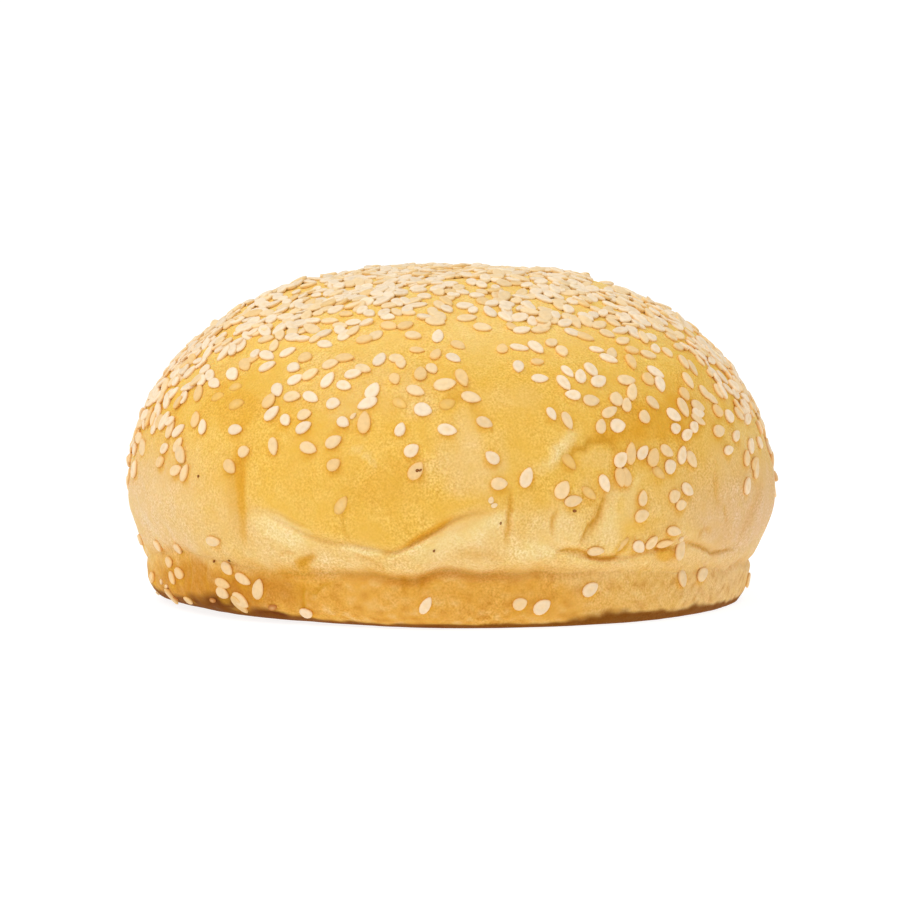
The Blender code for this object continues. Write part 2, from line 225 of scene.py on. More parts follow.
# Amber of the foot: how far it fades into the cream above it where the waist is shallow and where it
# is deep, how its edge waves, how it pales towards the right, and its mottling
FOOT_FADES = (3.4 * MM, 1.1 * MM)
FOOT_WAVES = ((9.0 * MM, 0.8 * MM), (3.5 * MM, 0.4 * MM))
DEEP_WAIST_CALM = 0.6
AMBER_SHARE = 0.95
AMBER_LOSS = 0.65
AMBER_LOSS_SIDES = (0.25, 0.85)
MOTTLE = ((3.2 * MM, 0.5), (1.6 * MM, 0.6))
MOTTLE_SHARE = 0.45
MOTTLE_FULL = 1.2
FOOT_SEED = 14

# Tints of the whole crust: the heights over which the top grows lighter, as painted light, and over
# which the low part ends, the tan of its right as painted shade and the pale edge of its left as painted
# light, as strength and sines of the azimuth, and how far the cream fades upwards over a shallow fold
# and a deep one, in millimetres
LIT_TOP_HEIGHTS = (39 * MM, 48 * MM)
LOW_HEIGHTS = (14 * MM, 34 * MM)
RIGHT_SHADE_SHARE = 0.75
RIGHT_SHADE_SIDES = (0.45, 0.98)
LEFT_LIGHT_SHARE = 0.7
LEFT_LIGHT_SIDES = (0.55, 0.98)
CREAM_FADES = (3.2, 0.6)

# Shade in the folds and the creases, light on the ridges, and the depths where they are strongest
FOLD_SHARE = 0.5
FOLD_SHARE_POWER = 0.8
FULL_FOLD_DEPTH = 0.9 * MM
LINE_SHARE = 0.8
RIDGE_SHARE = 0.7
FULL_LINE_DEPTH = 0.4 * MM

# Painted shadow on the crust round the lower side of each seed, and painted light in the gaps between
# the seeds on the top: how far below a seed's middle it centres, how far it fades, and the heights over
# which the golden painted shadow turns into the painted light
SEED_SHADOW_DROP = 0.5 * MM
SEED_SHADOW_REACH = (0.9 * MM, 1.9 * MM)
SHADOW_TO_LIGHT_HEIGHTS = (30 * MM, 43 * MM)
SEED_SHADOW_SHARE = 0.6
GAP_LIGHT_SHARE = 0.85

# Sesame seed: a flat drop with a hollow top and a thin raised rim, its rings as a share of the way
# from the middle of the top. Its base is narrower, and for its colour counts as beyond the rim.
SEED_LENGTH = 3.0 * MM
SEED_WIDTH = 1.9 * MM
SEED_THICKNESS = 0.8 * MM
SEED_POINT = 0.32
SEED_SIDES = 14
SEED_RINGS = (0.42, 0.76, 0.93, 1.0)
SEED_BASE = 0.7
UNDER_SHARE = 1.3
SEED_FLATNESS = 3
SEED_HOLLOW = 0.5
SEED_SINK = 0.22 * MM
SUNKEN_DEPTH = 0.50 * MM
SEED_SIZE_SPREAD = 0.11
SEED_SIZE_LIMITS = (0.75, 1.25)
SEED_TILT = 0.13

# Covering of seeds: how far down it reaches, as azimuth and height in millimetres, how it thins
# out, how many there are, how far each shifts from its crust point in millimetres, and how near to
# each other they lie
COVER_STOPS = ((-90, 23), (-60, 25), (-30, 33), (0, 41), (20, 36), (45, 27), (75, 21),
               (110, 25), (150, 34), (180, 29), (215, 36), (245, 25))
COVER_SPREAD = 7.0 * MM
SEED_COUNT = 1950
SEED_TRIES = 30000
SEED_DRAW = 12
SEED_SHIFT = 0.3
SEED_GAP = 1.05 * MM
GAP_SPREAD = (0.85, 1.5)

# How a seed lies over its neighbours: how near they count, and how they lift and tilt it
SEED_REACH = 2.1 * MM
STACK_LIFT = 0.16 * MM
STACK_TILT = 0.36
FULL_STACK = 0.45

# Stray seeds low on the sides that the photograph doesn't show, in clumps
STRAY_CHANCE = 0.10
STRAY_TOP = 20.0 * MM
STRAY_BOTTOM = 2.0 * MM
STRAY_CLUMPS = ((30.0 * MM, 1.0),)
CLUMP_EDGE = (0.3, 1.2)
STRAY_SEED = 5

# Colours out of 255, as they look in the photograph's light
GOLD = (240, 193, 85)
DEEP_GOLD = (230, 170, 52)
LIT_TOP_GOLD = (249, 208, 116)
CREAM = (242, 205, 128)
PALE_CREAM = (248, 220, 144)
LIT_LEFT_EDGE = (229, 199, 164)
AMBER = (231, 172, 70)
BURNT_AMBER = (197, 125, 30)
SHADED_RIGHT_TAN = (225, 188, 146)
PAINTED_GAP_LIGHT = (253, 209, 102)
FOLD_SHADE = (218, 156, 40)
BROWNING_AND_CONTACT_SHADE = (124, 68, 6)
DARK_BROWN = (98, 34, 2)
UNDERSIDE = (190, 124, 60)

# Patches of colour on the front, from the lowest layer up: colour, and for each patch its strength,
# place across and down, half width and half height in the photograph's pixels, and its turn in
# degrees anticlockwise. Some are painted highlights and painted shade, as marked.
PATCHES = (
    (PALE_CREAM, ((0.95, 573, 528, 22, 19, 0), (0.95, 611, 520, 17, 33, -22),
                  (0.8, 534, 552, 30, 11, 6), (0.75, 462, 538, 52, 11, 24))),
    (CREAM, ((0.8, 478, 556, 44, 14, 5),)),
    (PALE_CREAM, ((0.75, 283, 531, 38, 14, -28),)),
    (CREAM, ((0.7, 336, 559, 24, 11, -5),)),
    # These two thin pale cream patches are painted highlights on the ridge under the fold
    (PALE_CREAM, ((0.9, 366, 551, 18, 4, -10), (0.9, 406, 551, 19, 4, 22))),
    (CREAM, ((0.5, 565, 445, 9, 20, -45), (0.4, 597, 458, 20, 13, 0), (0.75, 462, 458, 42, 36, 0),
             (0.2, 500, 396, 50, 13, 0), (0.65, 588, 518, 66, 40, 0), (0.35, 590, 572, 40, 16, 0),
             (0.35, 410, 400, 26, 20, 0), (0.5, 686, 528, 14, 13, 0), (0.3, 160, 520, 20, 40, 0),
             (0.45, 352, 385, 80, 36, 0), (0.3, 215, 372, 36, 20, 30), (0.4, 752, 432, 20, 28, 0),
             (0.3, 705, 398, 26, 24, 0), (0.35, 146, 572, 16, 30, 0))),
    # Deep gold: those in the valley at the upper right, the upright groove at the left, the notch over
    # the left foot and the band above the fold's right arm are painted shade
    (DEEP_GOLD, ((0.7, 618, 438, 34, 14, 0), (0.8, 662, 412, 44, 32, 0),
                 (0.7, 620, 470, 10, 22, 0), (0.8, 666, 554, 11, 8, 0),
                 (0.6, 232, 405, 28, 34, 0), (0.8, 241, 488, 6, 46, 4),
                 (0.3, 385, 485, 34, 30, 0), (0.9, 428, 533, 36, 5, 33),
                 (0.4, 290, 580, 50, 14, 0), (0.6, 304, 567, 9, 10, 30))),
    (AMBER, ((0.5, 470, 590, 90, 16, 0),)),
    (BURNT_AMBER, ((0.6, 192, 584, 46, 25, 0), (0.65, 262, 594, 46, 20, 0))),
    # Dark brown: the browned underside, with painted shadow where it curls up off the floor
    (DARK_BROWN, ((0.9, 218, 604, 26, 10, -12), (0.95, 275, 615, 28, 6, -8),
                  (0.75, 190, 600, 18, 5, -8), (0.8, 432, 628, 14, 4, 0))),
)
PATCH_FADE = (0.45, 1.25)
PATCH_EDGE = ((9.0 * MM, 0.22), (4.0 * MM, 0.14))
PATCH_SEED = 3

# Seeds read from the photograph: place of the middle in its pixels, and turn of the pointed end in
# degrees anticlockwise from the right
BRIGHT_SEEDS = (
    (134, 469, 80), (164, 449, 30), (154, 428, 75), (164, 423, 60), (178, 431, 40), (203, 429, 90),
    (236, 428, 0), (183, 397, 80), (209, 377, -70), (213, 384, -35), (190, 371, 45), (232, 373, -60),
    (267, 367, 25), (293, 368, -15), (294, 382, 25), (278, 390, -70), (327, 381, 55), (285, 423, -60),
    (311, 397, -30), (332, 405, 0), (344, 420, -30), (353, 374, 10), (372, 388, 60), (367, 404, 205),
    (380, 361, 60), (424, 409, -15), (399, 431, 70), (412, 449, 35), (448, 428, -10), (491, 457, 140),
    (526, 478, 70), (517, 369, -90), (540, 381, 0), (520, 348, -10), (535, 348, -40), (453, 356, -30),
    (596, 351, -10), (608, 361, -20), (592, 367, -50), (656, 370, -30), (567, 369, -45), (565, 380, -50),
    (581, 379, 90), (598, 382, 30), (660, 387, -75), (573, 398, 175), (619, 428, 5), (698, 412, -10),
    (675, 428, 20), (687, 436, 40), (695, 429, 50), (730, 417, 10), (735, 433, 60), (729, 452, 20),
    (643, 454, 55), (671, 466, 30), (621, 460, 50), (605, 485, -65), (687, 488, -40), (747, 484, 80),
    (638, 546, -50), (590, 590, 35), (542, 605, 35), (425, 604, 60), (306, 614, 0),
    (354, 321, 0), (345, 335, 60),
    (323, 333, 20), (325, 345, -15), (438, 337, 80), (345, 388, -20), (760, 443, 80), (675, 416, -30),
    (552, 414, -60), (682, 454, 80), (750, 443, 85), (303, 426, 30), (271, 415, 45), (222, 346, 32),
    (239, 347, 65), (288, 350, 25), (294, 337, -15), (387, 315, -10), (506, 316, -35), (521, 329, 10),
    (572, 333, -20), (636, 336, -35), (651, 336, 10), (712, 370, 10), (722, 376, -50), (728, 388, -45),
    (736, 395, 30), (585, 316, -30), (369, 315, -30), (407, 308, 80), (425, 297, -15), (339, 331, -60),
    (282, 324, 40), (465, 305, 0), (497, 280, -20), (518, 268, 10), (545, 289, -30), (544, 299, -25),
    (572, 300, 60), (610, 307, -25), (635, 314, -40), (632, 331, -70), (463, 291, -15))
PALE_SEEDS = (
    (177, 443, 60), (180, 455, -65), (176, 470, 20), (184, 473, 70), (170, 430, 70), (173, 384, 35),
    (303, 416, 10), (334, 440, 30), (307, 451, -20), (273, 446, -80), (245, 449, 15), (293, 397, 0),
    (417, 391, -20), (445, 387, 10), (471, 396, -15), (485, 424, -25), (499, 484, 0), (562, 491, 60),
    (574, 501, 10), (566, 420, -65), (601, 427, 80), (626, 379, 0), (632, 393, 80), (616, 397, 90),
    (592, 402, 0), (652, 402, -45), (611, 412, 30), (626, 406, 85), (644, 419, 90), (684, 409, -65),
    (698, 404, -25), (699, 422, -35), (719, 434, 20), (739, 412, -50), (684, 364, -60), (693, 367, -60),
    (688, 380, -60), (667, 450, -35), (691, 458, -60), (747, 460, 85), (643, 500, 85), (642, 515, 20),
    (674, 494, 30), (681, 504, 15), (674, 529, -10), (652, 543, 50), (680, 549, 80), (596, 551, 0),
    (702, 574, 40), (683, 579, -80), (520, 602, 25), (212, 543, 0), (178, 548, 90),
    (227, 569, -50), (223, 594, -30), (241, 599, -40),
    (414, 337, -10), (482, 325, -10), (622, 340, 20), (540, 330, 10), (397, 357, -20), (402, 363, -75),
    (310, 376, 30), (563, 351, -65), (679, 349, 10), (668, 350, -50), (141, 540, 70),
    (157, 545, 60), (128, 458, 60), (129, 476, 80), (756, 470, 85), (275, 345, 75), (266, 339, 10),
    (331, 362, 15), (364, 368, -15), (316, 336, 40), (408, 313, -10), (439, 316, -60), (466, 317, 5),
    (433, 368, -50), (551, 341, 30), (531, 314, -10), (554, 321, 60), (570, 318, -40), (611, 353, 85),
    (648, 355, -15), (693, 350, -45), (704, 390, -50), (712, 400, -40), (718, 389, -60), (718, 362, -60),
    (750, 411, -60), (258, 333, 20), (340, 324, -10), (376, 333, 30), (600, 327, 20), (672, 338, -20),
    (258, 589, 80), (243, 581, -30), (327, 307, 10), (389, 307, 10), (433, 314, -70),
    (440, 307, -50), (436, 320, -10), (329, 321, 0), (307, 328, 30), (302, 300, 20), (482, 291, -20),
    (517, 302, 60), (547, 310, -20), (589, 296, -35), (598, 310, -30), (613, 321, -35), (622, 296, -15),
    (647, 321, -30), (607, 331, -25), (318, 314, -20), (296, 312, 30), (284, 308, 15), (360, 300, 5),
    (375, 293, 10), (415, 300, -10), (448, 300, 20), (500, 300, -15), (530, 295, 20), (560, 305, -60),
    (640, 303, -30), (658, 322, -40), (670, 330, -30), (655, 310, -35), (689, 334, -50), (678, 325, -45))
TOASTED_SEEDS = (
    (194, 420, 85), (199, 392, 85), (251, 358, 20), (268, 399, 60), (230, 466, -50), (333, 463, 35),
    (305, 360, -5), (345, 360, 0), (405, 325, 15), (390, 325, -15), (584, 335, -20), (633, 350, -10),
    (707, 356, -45), (364, 420, 85), (394, 376, -70), (420, 374, 90), (461, 379, -65), (417, 352, -5),
    (457, 345, -35), (436, 353, 60), (502, 350, 80), (538, 364, 0), (647, 381, 85), (632, 364, -65),
    (654, 459, 75),
    (632, 450, 85), (718, 414, -20), (685, 396, -60), (755, 463, 60), (664, 544, 10), (160, 462, 30),
    (749, 580, 75), (364, 340, 10), (245, 367, -60), (620, 477, -80), (626, 476, 100), (416, 471, 55),
    (347, 312, -5), (451, 293, -30), (517, 283, 0), (583, 304, -30), (172, 580, -65), (152, 577, 60),
    (222, 584, -20), (169, 562, 10), (180, 571, -20), (239, 604, -45), (188, 601, 0), (172, 595, -50))
SUNKEN_SEEDS = (
    (341, 504, 60), (218, 397, 10), (236, 385, 0), (237, 401, 10), (399, 404, -30), (448, 404, 20),
    (589, 493, -40), (623, 547, 45), (569, 462, -50), (660, 474, -40))

# Crumbs read from the photograph in the same way, and dark specks, which also have a lift above the
# crust in millimetres
CRUMBS = ((495, 505, 20), (682, 539, 60), (157, 594, 5), (492, 500, 80), (166, 587, 30), (161, 580, 60),
          (352, 417, 45))
BROWN_CRUMBS = ((128, 478, 60), (272, 609, 20), (176, 599, 10), (212, 602, 0))
SPECKS = ((418, 471, 35, 0.4), (420, 469, 35, 0.4), (500, 524, 80, 0.0), (434, 552, 60, 0.0),
          (213, 561, 20, 0.0), (229, 562, 40, 0.0), (576, 509, 0, 0.0), (696, 460, 30, 0.0),
          (198, 477, 20, 0.0))
READ_KINDS = {"bright": BRIGHT_SEEDS, "pale": PALE_SEEDS, "toasted": TOASTED_SEEDS,
              "sunken": SUNKEN_SEEDS, "crumb": CRUMBS, "brown_crumb": BROWN_CRUMBS, "speck": SPECKS}

# Size of a crumb and of a speck as shares of a seed's
CRUMB_SIZES = {"crumb": (0.36, 0.42, 0.6), "brown_crumb": (0.7, 0.5, 0.6), "speck": (0.19, 0.22, 0.25)}

# Where the seeds read one by one begin, as points in the photograph's pixels. Over a fade of some
# pixels, drawn seeds take over above, apart from the bare spots, as place and half sizes in pixels.
READ_FROM = ((100, 455), (145, 438), (160, 418), (176, 408), (192, 388), (205, 372), (215, 360),
             (240, 350), (275, 338), (300, 328), (340, 318), (380, 310), (440, 308), (500, 314),
             (560, 322), (600, 328), (640, 334), (670, 342), (690, 352), (705, 362), (725, 378),
             (745, 406), (790, 422))
READ_FADE = 26
BARE_SPOTS = ((433, 303, 8, 14), (462, 301, 14, 7), (514, 290, 8, 6), (602, 283, 18, 7),
              (690, 335, 8, 6))

# Colour of each kind of seed and crumb, and how much it varies
SEED_SHADES = {"bright": (250, 231, 204), "pale": (246, 219, 178), "toasted": (241, 204, 150),
               "sunken": (238, 190, 98), "crumb": (246, 216, 170), "brown_crumb": (190, 122, 62),
               "speck": (132, 70, 20)}
SEED_SHADE_SPREAD = 0.04

# Husk: it darkens the hollow of a seed, more or less from one seed to the next, and as painted shade
# the whole of each seed low on the side of the bun
HUSK = (240, 202, 142)
HUSK_SHARE = 0.4
HUSK_POWER = 1.5
HUSK_SPREAD = (0.4, 1.6)
LOW_SEED_SHADE = 0.3
SHADED_SEED_HEIGHTS = (20 * MM, 38 * MM)

# Golden rim and underside of a seed, partly its toasted edge and partly painted warm shade where seeds
# lie on the crust and on each other, a darker painted shade round a sunken seed and painted light on
# the top of the bun, from which share of the way they begin, their strength, and how much of the
# crust's colour glows through
RIM = (248, 190, 82)
SUNKEN_RIM_SHADE = (208, 140, 40)
LIT_TOP_RIM = (252, 220, 150)
LIT_RIM_HEIGHTS = (40 * MM, 49 * MM)
RIM_START = 0.7
RIM_SHARES = {"bright": 0.6, "pale": 0.7, "toasted": 0.8, "sunken": 1.0}
GLOW_SHARES = {"bright": 0.06, "pale": 0.14, "toasted": 0.22, "sunken": 0.3}

# Kinds of the seeds drawn by rule and how often each comes, and the pieces: their kinds and slot
DRAWN_KINDS = (("bright", 0.60), ("pale", 0.36), ("toasted", 0.04))
PIECES = {"bright_seeds": (("bright",), "sesame"),
          "pale_seeds": (("pale",), "sesame"),
          "toasted_seeds": (("toasted", "sunken"), "sesame"),
          "crumbs": (("crumb", "brown_crumb", "speck"), "crust")}

# Finish of the crust: clouds and flecks as a tint, a size and a range of strength, a fine grain that
# is stronger in patches, roughness as a size and a range, dimples and pores as a size and a depth,
# and how far light passes in
NOISE_MIDDLE = (0.3, 0.7)
NOISE_DETAIL = 3.0
FINE_DETAIL = 2.0
CLOUD_TINT = (0.93, 0.82, 0.50)
CLOUDS = (11 * MM, 0.0, 0.36)
FLECK_TINT = (1.04, 1.12, 1.60)
FLECKS = (3 * MM, 0.0, 0.6)
DARK_GRAIN = (0.80, 0.70, 0.48)
LIGHT_GRAIN = (1.12, 1.20, 1.50)
GRAIN_SIZE = 0.33 * MM
GRAIN_PATCH_SIZE = 6 * MM
DARKEST_RANGE = (0.4, 0.0)
LIGHTEST_RANGE = (0.6, 1.0)
ROUGHNESS = (4 * MM, 0.55, 0.75)
DIMPLES = (2.2 * MM, 0.10 * MM)
PORES = (0.5 * MM, 0.045 * MM)
CRUST_SOFTNESS = 0.3
CRUST_REACH = 0.7 * MM
CRUST_REACH_SHARES = (1.0, 0.55, 0.2)
CRUST_SHINE = 0.02

# Finish of the seeds and the crumbs, in the same way
SEED_GRAIN = (0.7 * MM, 0.94, 1.06)
SEED_ROUGHNESS = (1 * MM, 0.38, 0.55)
SEED_BUMPS = (0.6 * MM, 0.03 * MM)
SEED_SHINE = 0.2
CRUMB_SHINE = 0.0

# Studio: white surroundings, lights as place, size, watts and colour, and a glowing floor
WHITE = (1.0, 1.0, 1.0, 1.0)
WORLD_STRENGTH = 0.71
LIGHTS = {"key": ((-0.7, -0.6, 1.5), 1.6, 12.6, (1.0, 0.99, 0.97)),
          "fill": ((1.3, -1.0, 0.5), 1.0, 0.5, (1.0, 1.0, 1.0))}
FLOOR_SIZE = 40.0
FLOOR_GREY = (0.25, 0.25, 0.25, 1.0)
FLOOR_ROUGHNESS = 0.9
FLOOR_GLOW = 0.86

# A seed or crumb: its place and facing, the way of its pointed end, its lift above the crust, its
# kind, and the number of the crust point that it lies on
Seed = namedtuple("Seed", "place facing way lift kind spot")


def linear(colour):
    """Linear values of a colour given out of 255."""
    share = np.array(colour) / 255
    return np.where(share <= 0.04045, share / 12.92, ((share + 0.055) / 1.055) ** 2.4)


def round_the_bun(stops, azimuth):
    """A value that runs smoothly round the bun through stops of azimuth and value."""
    angles, values = np.array(stops, dtype=float).T
    angles = np.concatenate((angles[-2:] - FULL_TURN, angles, angles[:2] + FULL_TURN))
    values = np.concatenate((values[-2:], values, values[:2]))
    slopes = np.gradient(values, angles)
    place = np.mod(azimuth - angles[2], FULL_TURN) + angles[2]
    left = np.clip(np.searchsorted(angles, place, side="right") - 1, 0, len(angles) - 2)
    span = angles[left + 1] - angles[left]
    part = (place - angles[left]) / span
    rise = values[left + 1] - values[left]
    start_bend = slopes[left] * span - rise
    end_bend = rise - slopes[left + 1] * span
    bend = part * (1 - part) * (start_bend * (1 - part) + end_bend * part)
    return values[left] + rise * part + bend


def bell(distance, half_width):
    """Share that falls smoothly from 1 at a line as the distance from it grows."""
    return np.exp(-(distance / half_width) ** 2)


def ramp(value, start, end):
    """Smooth step from 0 at start to 1 at end."""
    part = np.clip((value - start) / (end - start), 0.0, 1.0)
    return part * part * (3 - 2 * part)


def part_way(low, high, share):
    """Value a share of the way from low to high."""
    return low + (high - low) * share


def ring_swells(turn, waves, seed):
    """Seeded waves along the widest ring, at turns in radians from the front."""
    ring = np.column_stack((np.sin(turn), -np.cos(turn), np.zeros_like(turn))) * WIDEST_RADIUS
    return swells(ring, waves, seed)


def wander(azimuth):
    """Small ups and downs of a fold's line."""
    return ring_swells(np.radians(azimuth), FOLD_WANDER, FOLD_WANDER_SEED)


def waist_height(azimuth):
    """Height of the waist over the foot."""
    return round_the_bun(WAIST_STOPS, azimuth) * MM + wander(azimuth)


def fold_height(azimuth):
    """Height of the fold over the waist."""
    return round_the_bun(FOLD_STOPS, azimuth) * MM - wander(azimuth)


def fold_depth(azimuth):
    """Depth of that fold."""
    return round_the_bun(FOLD_DEPTH_STOPS, azimuth) * MM


def up_dome(height):
    """How far up the dome a height is, from 0 at its widest ring to 1 at its crown."""
    return np.clip((height - WIDEST_HEIGHT) / DOME_RISE, 0.0, 1.0)


def crust_radius(azimuth, height):
    """Radius of the plain turned form at a height: rounded foot, overhanging belly, dome."""
    waist = waist_height(azimuth)
    underside = round_the_bun(UNDERSIDE_STOPS, azimuth) * MM
    up_foot = np.clip(height / FOOT_ROUND, 0.0, 1.0)
    foot = underside + (FOOT_RADIUS - underside) * np.sqrt(1 - (1 - up_foot) ** 2)
    foot = foot + FOOT_BULGE * np.sin(math.pi * np.clip(height / waist, 0.0, 1.0))
    below_widest = np.clip((WIDEST_HEIGHT - height) / (WIDEST_HEIGHT - waist), 0.0, 1.0)
    belly = WIDEST_RADIUS - (WIDEST_RADIUS - FOOT_RADIUS) * below_widest ** BELLY_POWER
    dome = WIDEST_RADIUS * (1 - up_dome(height) ** DOME_POWER) ** (1 / DOME_POWER)
    fill = round_the_bun(FILL_STOPS, azimuth) * MM * bell(height - waist, FILL_HALF_WIDTH)
    return fill + np.where(height < waist, foot, np.where(height < WIDEST_HEIGHT, belly, dome))


def plain_crust(azimuth, height):
    """Points of the turned form, before folds and swells."""
    radius = crust_radius(azimuth, height)
    turn = np.radians(azimuth)
    lean = CROWN_SHIFT * up_dome(height) ** 2
    return np.stack((radius * np.sin(turn) + lean, -radius * np.cos(turn), height), axis=1)


def outward(points):
    """Way that the crust faces, level below the widest height so that the underside stays flat."""
    rise = np.clip(points[:, 2] - WIDEST_HEIGHT, 0.0, None) / DOME_RISE ** 2
    facing = np.column_stack((points[:, :2] / WIDEST_RADIUS ** 2, rise))
    return facing / np.linalg.norm(facing, axis=1, keepdims=True)


def long_fold(gap, half_width, depth):
    """Relief at a gap above or below a fold's line: a groove between two swollen lips."""
    relief = -depth * bell(gap, half_width)
    for offset, lip_half_width, share in (UPPER_LIP, LOWER_LIP):
        relief += share * depth * bell(gap - offset, lip_half_width)
    return relief


def crease(azimuth, height, line, half_width, depth):
    """Relief of a crease along a line of azimuths and heights, fading out at both ends."""
    middle = line[len(line) // 2, 0]
    turn = np.mod(azimuth - middle + FULL_TURN / 2, FULL_TURN) - FULL_TURN / 2
    across = np.radians(turn) * WIDEST_RADIUS
    line_across = np.radians(line[:, 0] - middle) * WIDEST_RADIUS
    reach = CREASE_REACH * half_width
    near = (across > line_across.min() - reach) & (across < line_across.max() + reach)
    near &= (height > line[:, 1].min() - reach) & (height < line[:, 1].max() + reach)
    deepest = np.zeros(np.count_nonzero(near))
    for step, (place, level) in enumerate(zip(line_across, line[:, 1])):
        fade = math.sin(math.pi * (step + 0.5) / len(line)) ** 0.5
        distance = np.hypot(across[near] - place, height[near] - level)
        deepest = np.maximum(deepest, fade * bell(distance, half_width))
    relief = np.zeros_like(height)
    relief[near] = -depth * deepest
    return relief


def straight_line(start, end, steps):
    """Azimuths and heights of spots evenly spaced between two ends."""
    parts = (np.arange(steps)[:, None] + 0.5) / steps
    return np.array(start) + (np.array(end) - start) * parts


def swells(points, waves, seed):
    """Unevenness from seeded waves through space."""
    draw = np.random.default_rng(seed)
    total = np.zeros(len(points))
    for wavelength, height in waves:
        for _ in range(WAVES_PER_SWELL):
            direction = draw.normal(size=3)
            direction /= np.linalg.norm(direction)
            phase = draw.uniform(0.0, 2 * math.pi)
            wave = np.sin(2 * math.pi * (points @ direction) / wavelength + phase)
            total += wave * height / math.sqrt(WAVES_PER_SWELL)
    return total


def mounds(points):
    """Broad mounds and hollows."""
    total = np.zeros(len(points))
    for middle, half_width, height in MOUNDS:
        distance = np.linalg.norm(points - np.array(middle) * MM, axis=1)
        total += height * MM * bell(distance, half_width * MM)
    return total


def main_relief(azimuth, height):
    """Folds and valleys of the crust."""
    waist_depth = round_the_bun(WAIST_DEPTH_STOPS, azimuth) * MM
    relief = long_fold(height - waist_height(azimuth), WAIST_HALF_WIDTH, waist_depth)
    relief += long_fold(height - fold_height(azimuth), FOLD_HALF_WIDTH, fold_depth(azimuth))
    for top, bottom, half_width, depth in VALLEYS:
        line = straight_line(top, bottom, VALLEY_STEPS) * (1.0, MM)
        relief += crease(azimuth, height, line, half_width * MM, depth * MM)
    return relief


def camera_axes():
    """The camera's place, and its ways right, up and forward."""
    rise = math.radians(CAMERA_RISE)
    forward = np.array((0.0, math.cos(rise), -math.sin(rise)))
    place = (0.0, 0.0, AIM_HEIGHT) - forward * CAMERA_DISTANCE
    up = np.array((0.0, math.sin(rise), math.cos(rise)))
    return place, np.array((1.0, 0.0, 0.0)), up, forward


def photo_pixels(points):
    """Where points appear, in the photograph's pixels."""
    place, right, up, forward = camera_axes()
    gap = points - place
    scale = CAMERA_DISTANCE / PIXEL / (gap @ forward)
    return np.column_stack((gap @ right, -gap @ up)) * scale[:, None] + PHOTO_PIXELS / 2


def seen_by_camera(points, facing):
    """Whether each point faces the camera."""
    return np.einsum("ij,ij->i", facing, camera_axes()[0] - points) > 0


def spots_at_pixels(pixels, points, facing):
    """For each of some pixels, the number of the crust point that the camera sees there."""
    seen = np.flatnonzero(seen_by_camera(points, facing))
    shown = photo_pixels(points[seen])
    return [seen[np.argmin(((shown - pixel) ** 2).sum(axis=1))] for pixel in pixels]


def path_line(path, azimuth, height, points):
    """Azimuths and heights of evenly spaced spots along a path of pixels."""
    corners = np.array(path, dtype=float)
    lengths = np.concatenate(((0.0,), np.cumsum(np.linalg.norm(np.diff(corners, axis=0), axis=1))))
    parts = np.linspace(0.0, lengths[-1], math.ceil(lengths[-1] / WRINKLE_STEP_PIXELS))
    pixels = np.column_stack([np.interp(parts, lengths, corners[:, axis]) for axis in range(2)])
    spots = spots_at_pixels(pixels, points, outward(points))
    return np.column_stack((azimuth[spots], height[spots]))


def hidden_line(draw):
    """A short bowed crease somewhere on the sides that the photograph doesn't show."""
    start = np.array((draw.uniform(*HIDDEN_AZIMUTHS), draw.uniform(*HIDDEN_HEIGHTS) * MM))
    slant = draw.normal(0.0, HIDDEN_SLANT)
    length = draw.uniform(*HIDDEN_LENGTHS) * MM
    turn = math.degrees(length * math.sin(slant) / WIDEST_RADIUS)
    drop = min(length * math.cos(slant), start[1] - HIDDEN_LOWEST * MM)
    line = straight_line(start, start + (turn, -drop), HIDDEN_STEPS)
    line[:, 0] += draw.normal(0.0, HIDDEN_BOW) * np.sin(np.linspace(0.0, math.pi, HIDDEN_STEPS))
    return line


def wrinkle_relief(azimuth, height, points):
    """Fine creases, those in the photograph and those drawn for the other sides."""
    relief = np.zeros_like(height)
    for path, half_width, depth in WRINKLES:
        line = path_line(path, azimuth, height, points)
        relief += crease(azimuth, height, line, half_width * MM, depth * MM)
    draw = np.random.default_rng(HIDDEN_WRINKLE_SEED)
    for _ in range(HIDDEN_WRINKLES):
        line = hidden_line(draw)
        half_width = draw.uniform(*HIDDEN_HALF_WIDTHS) * MM
        depth = draw.uniform(*HIDDEN_DEPTHS) * MM
        relief += crease(azimuth, height, line, half_width, depth)
    return relief


def pleats(azimuth, height):
    """Small slanting pleats in the stretched band between the waist and the fold."""
    slanted = np.radians(azimuth) + PLEAT_LEAN * height / WIDEST_RADIUS
    waist = waist_height(azimuth)
    fold = fold_height(azimuth)
    band = bell(height - (waist + fold) / 2, (fold - waist) / 2)
    return band * ring_swells(slanted, PLEATS, PLEAT_SEED)


def dome_height(part):
    """Height on the dome at a part of the way from its widest ring, 0, to its crown, 1."""
    return WIDEST_HEIGHT + DOME_RISE * math.sin(part * math.pi / 2) ** (2 / DOME_POWER)


def dome_part(height):
    """Inverse of dome_height."""
    rise = (height - WIDEST_HEIGHT) / DOME_RISE
    return math.asin(rise ** (DOME_POWER / 2)) / (math.pi / 2)


def body_heights(azimuth):
    """Heights of the body's rows at each azimuth, from the underside up, crowded at the folds."""
    round_top = FOOT_ROUND / 2
    rows = [np.full_like(azimuth, round_top * (1 - math.cos(row / FOOT_ROWS * math.pi / 2)))
            for row in range(FOOT_ROWS)]
    waist = waist_height(azimuth)
    fold = fold_height(azimuth)
    reach = FOLD_REACH * np.minimum(1.0, (fold - waist) / ROOM_FOR_FOLD_ROWS)
    levels = (np.full_like(azimuth, round_top), waist - reach, waist + reach, fold - reach,
              fold + reach, np.full_like(azimuth, SHOULDER_HEIGHT))
    for low, high, count in zip(levels, levels[1:], ROWS_BETWEEN_LEVELS):
        rows += [low + (high - low) * row / count for row in range(count)]
    return np.array(rows)


def add_object(name, data):
    """An object of some data, in the scene."""
    item = bpy.data.objects.new(name, data)
    bpy.context.scene.collection.objects.link(item)
    return item


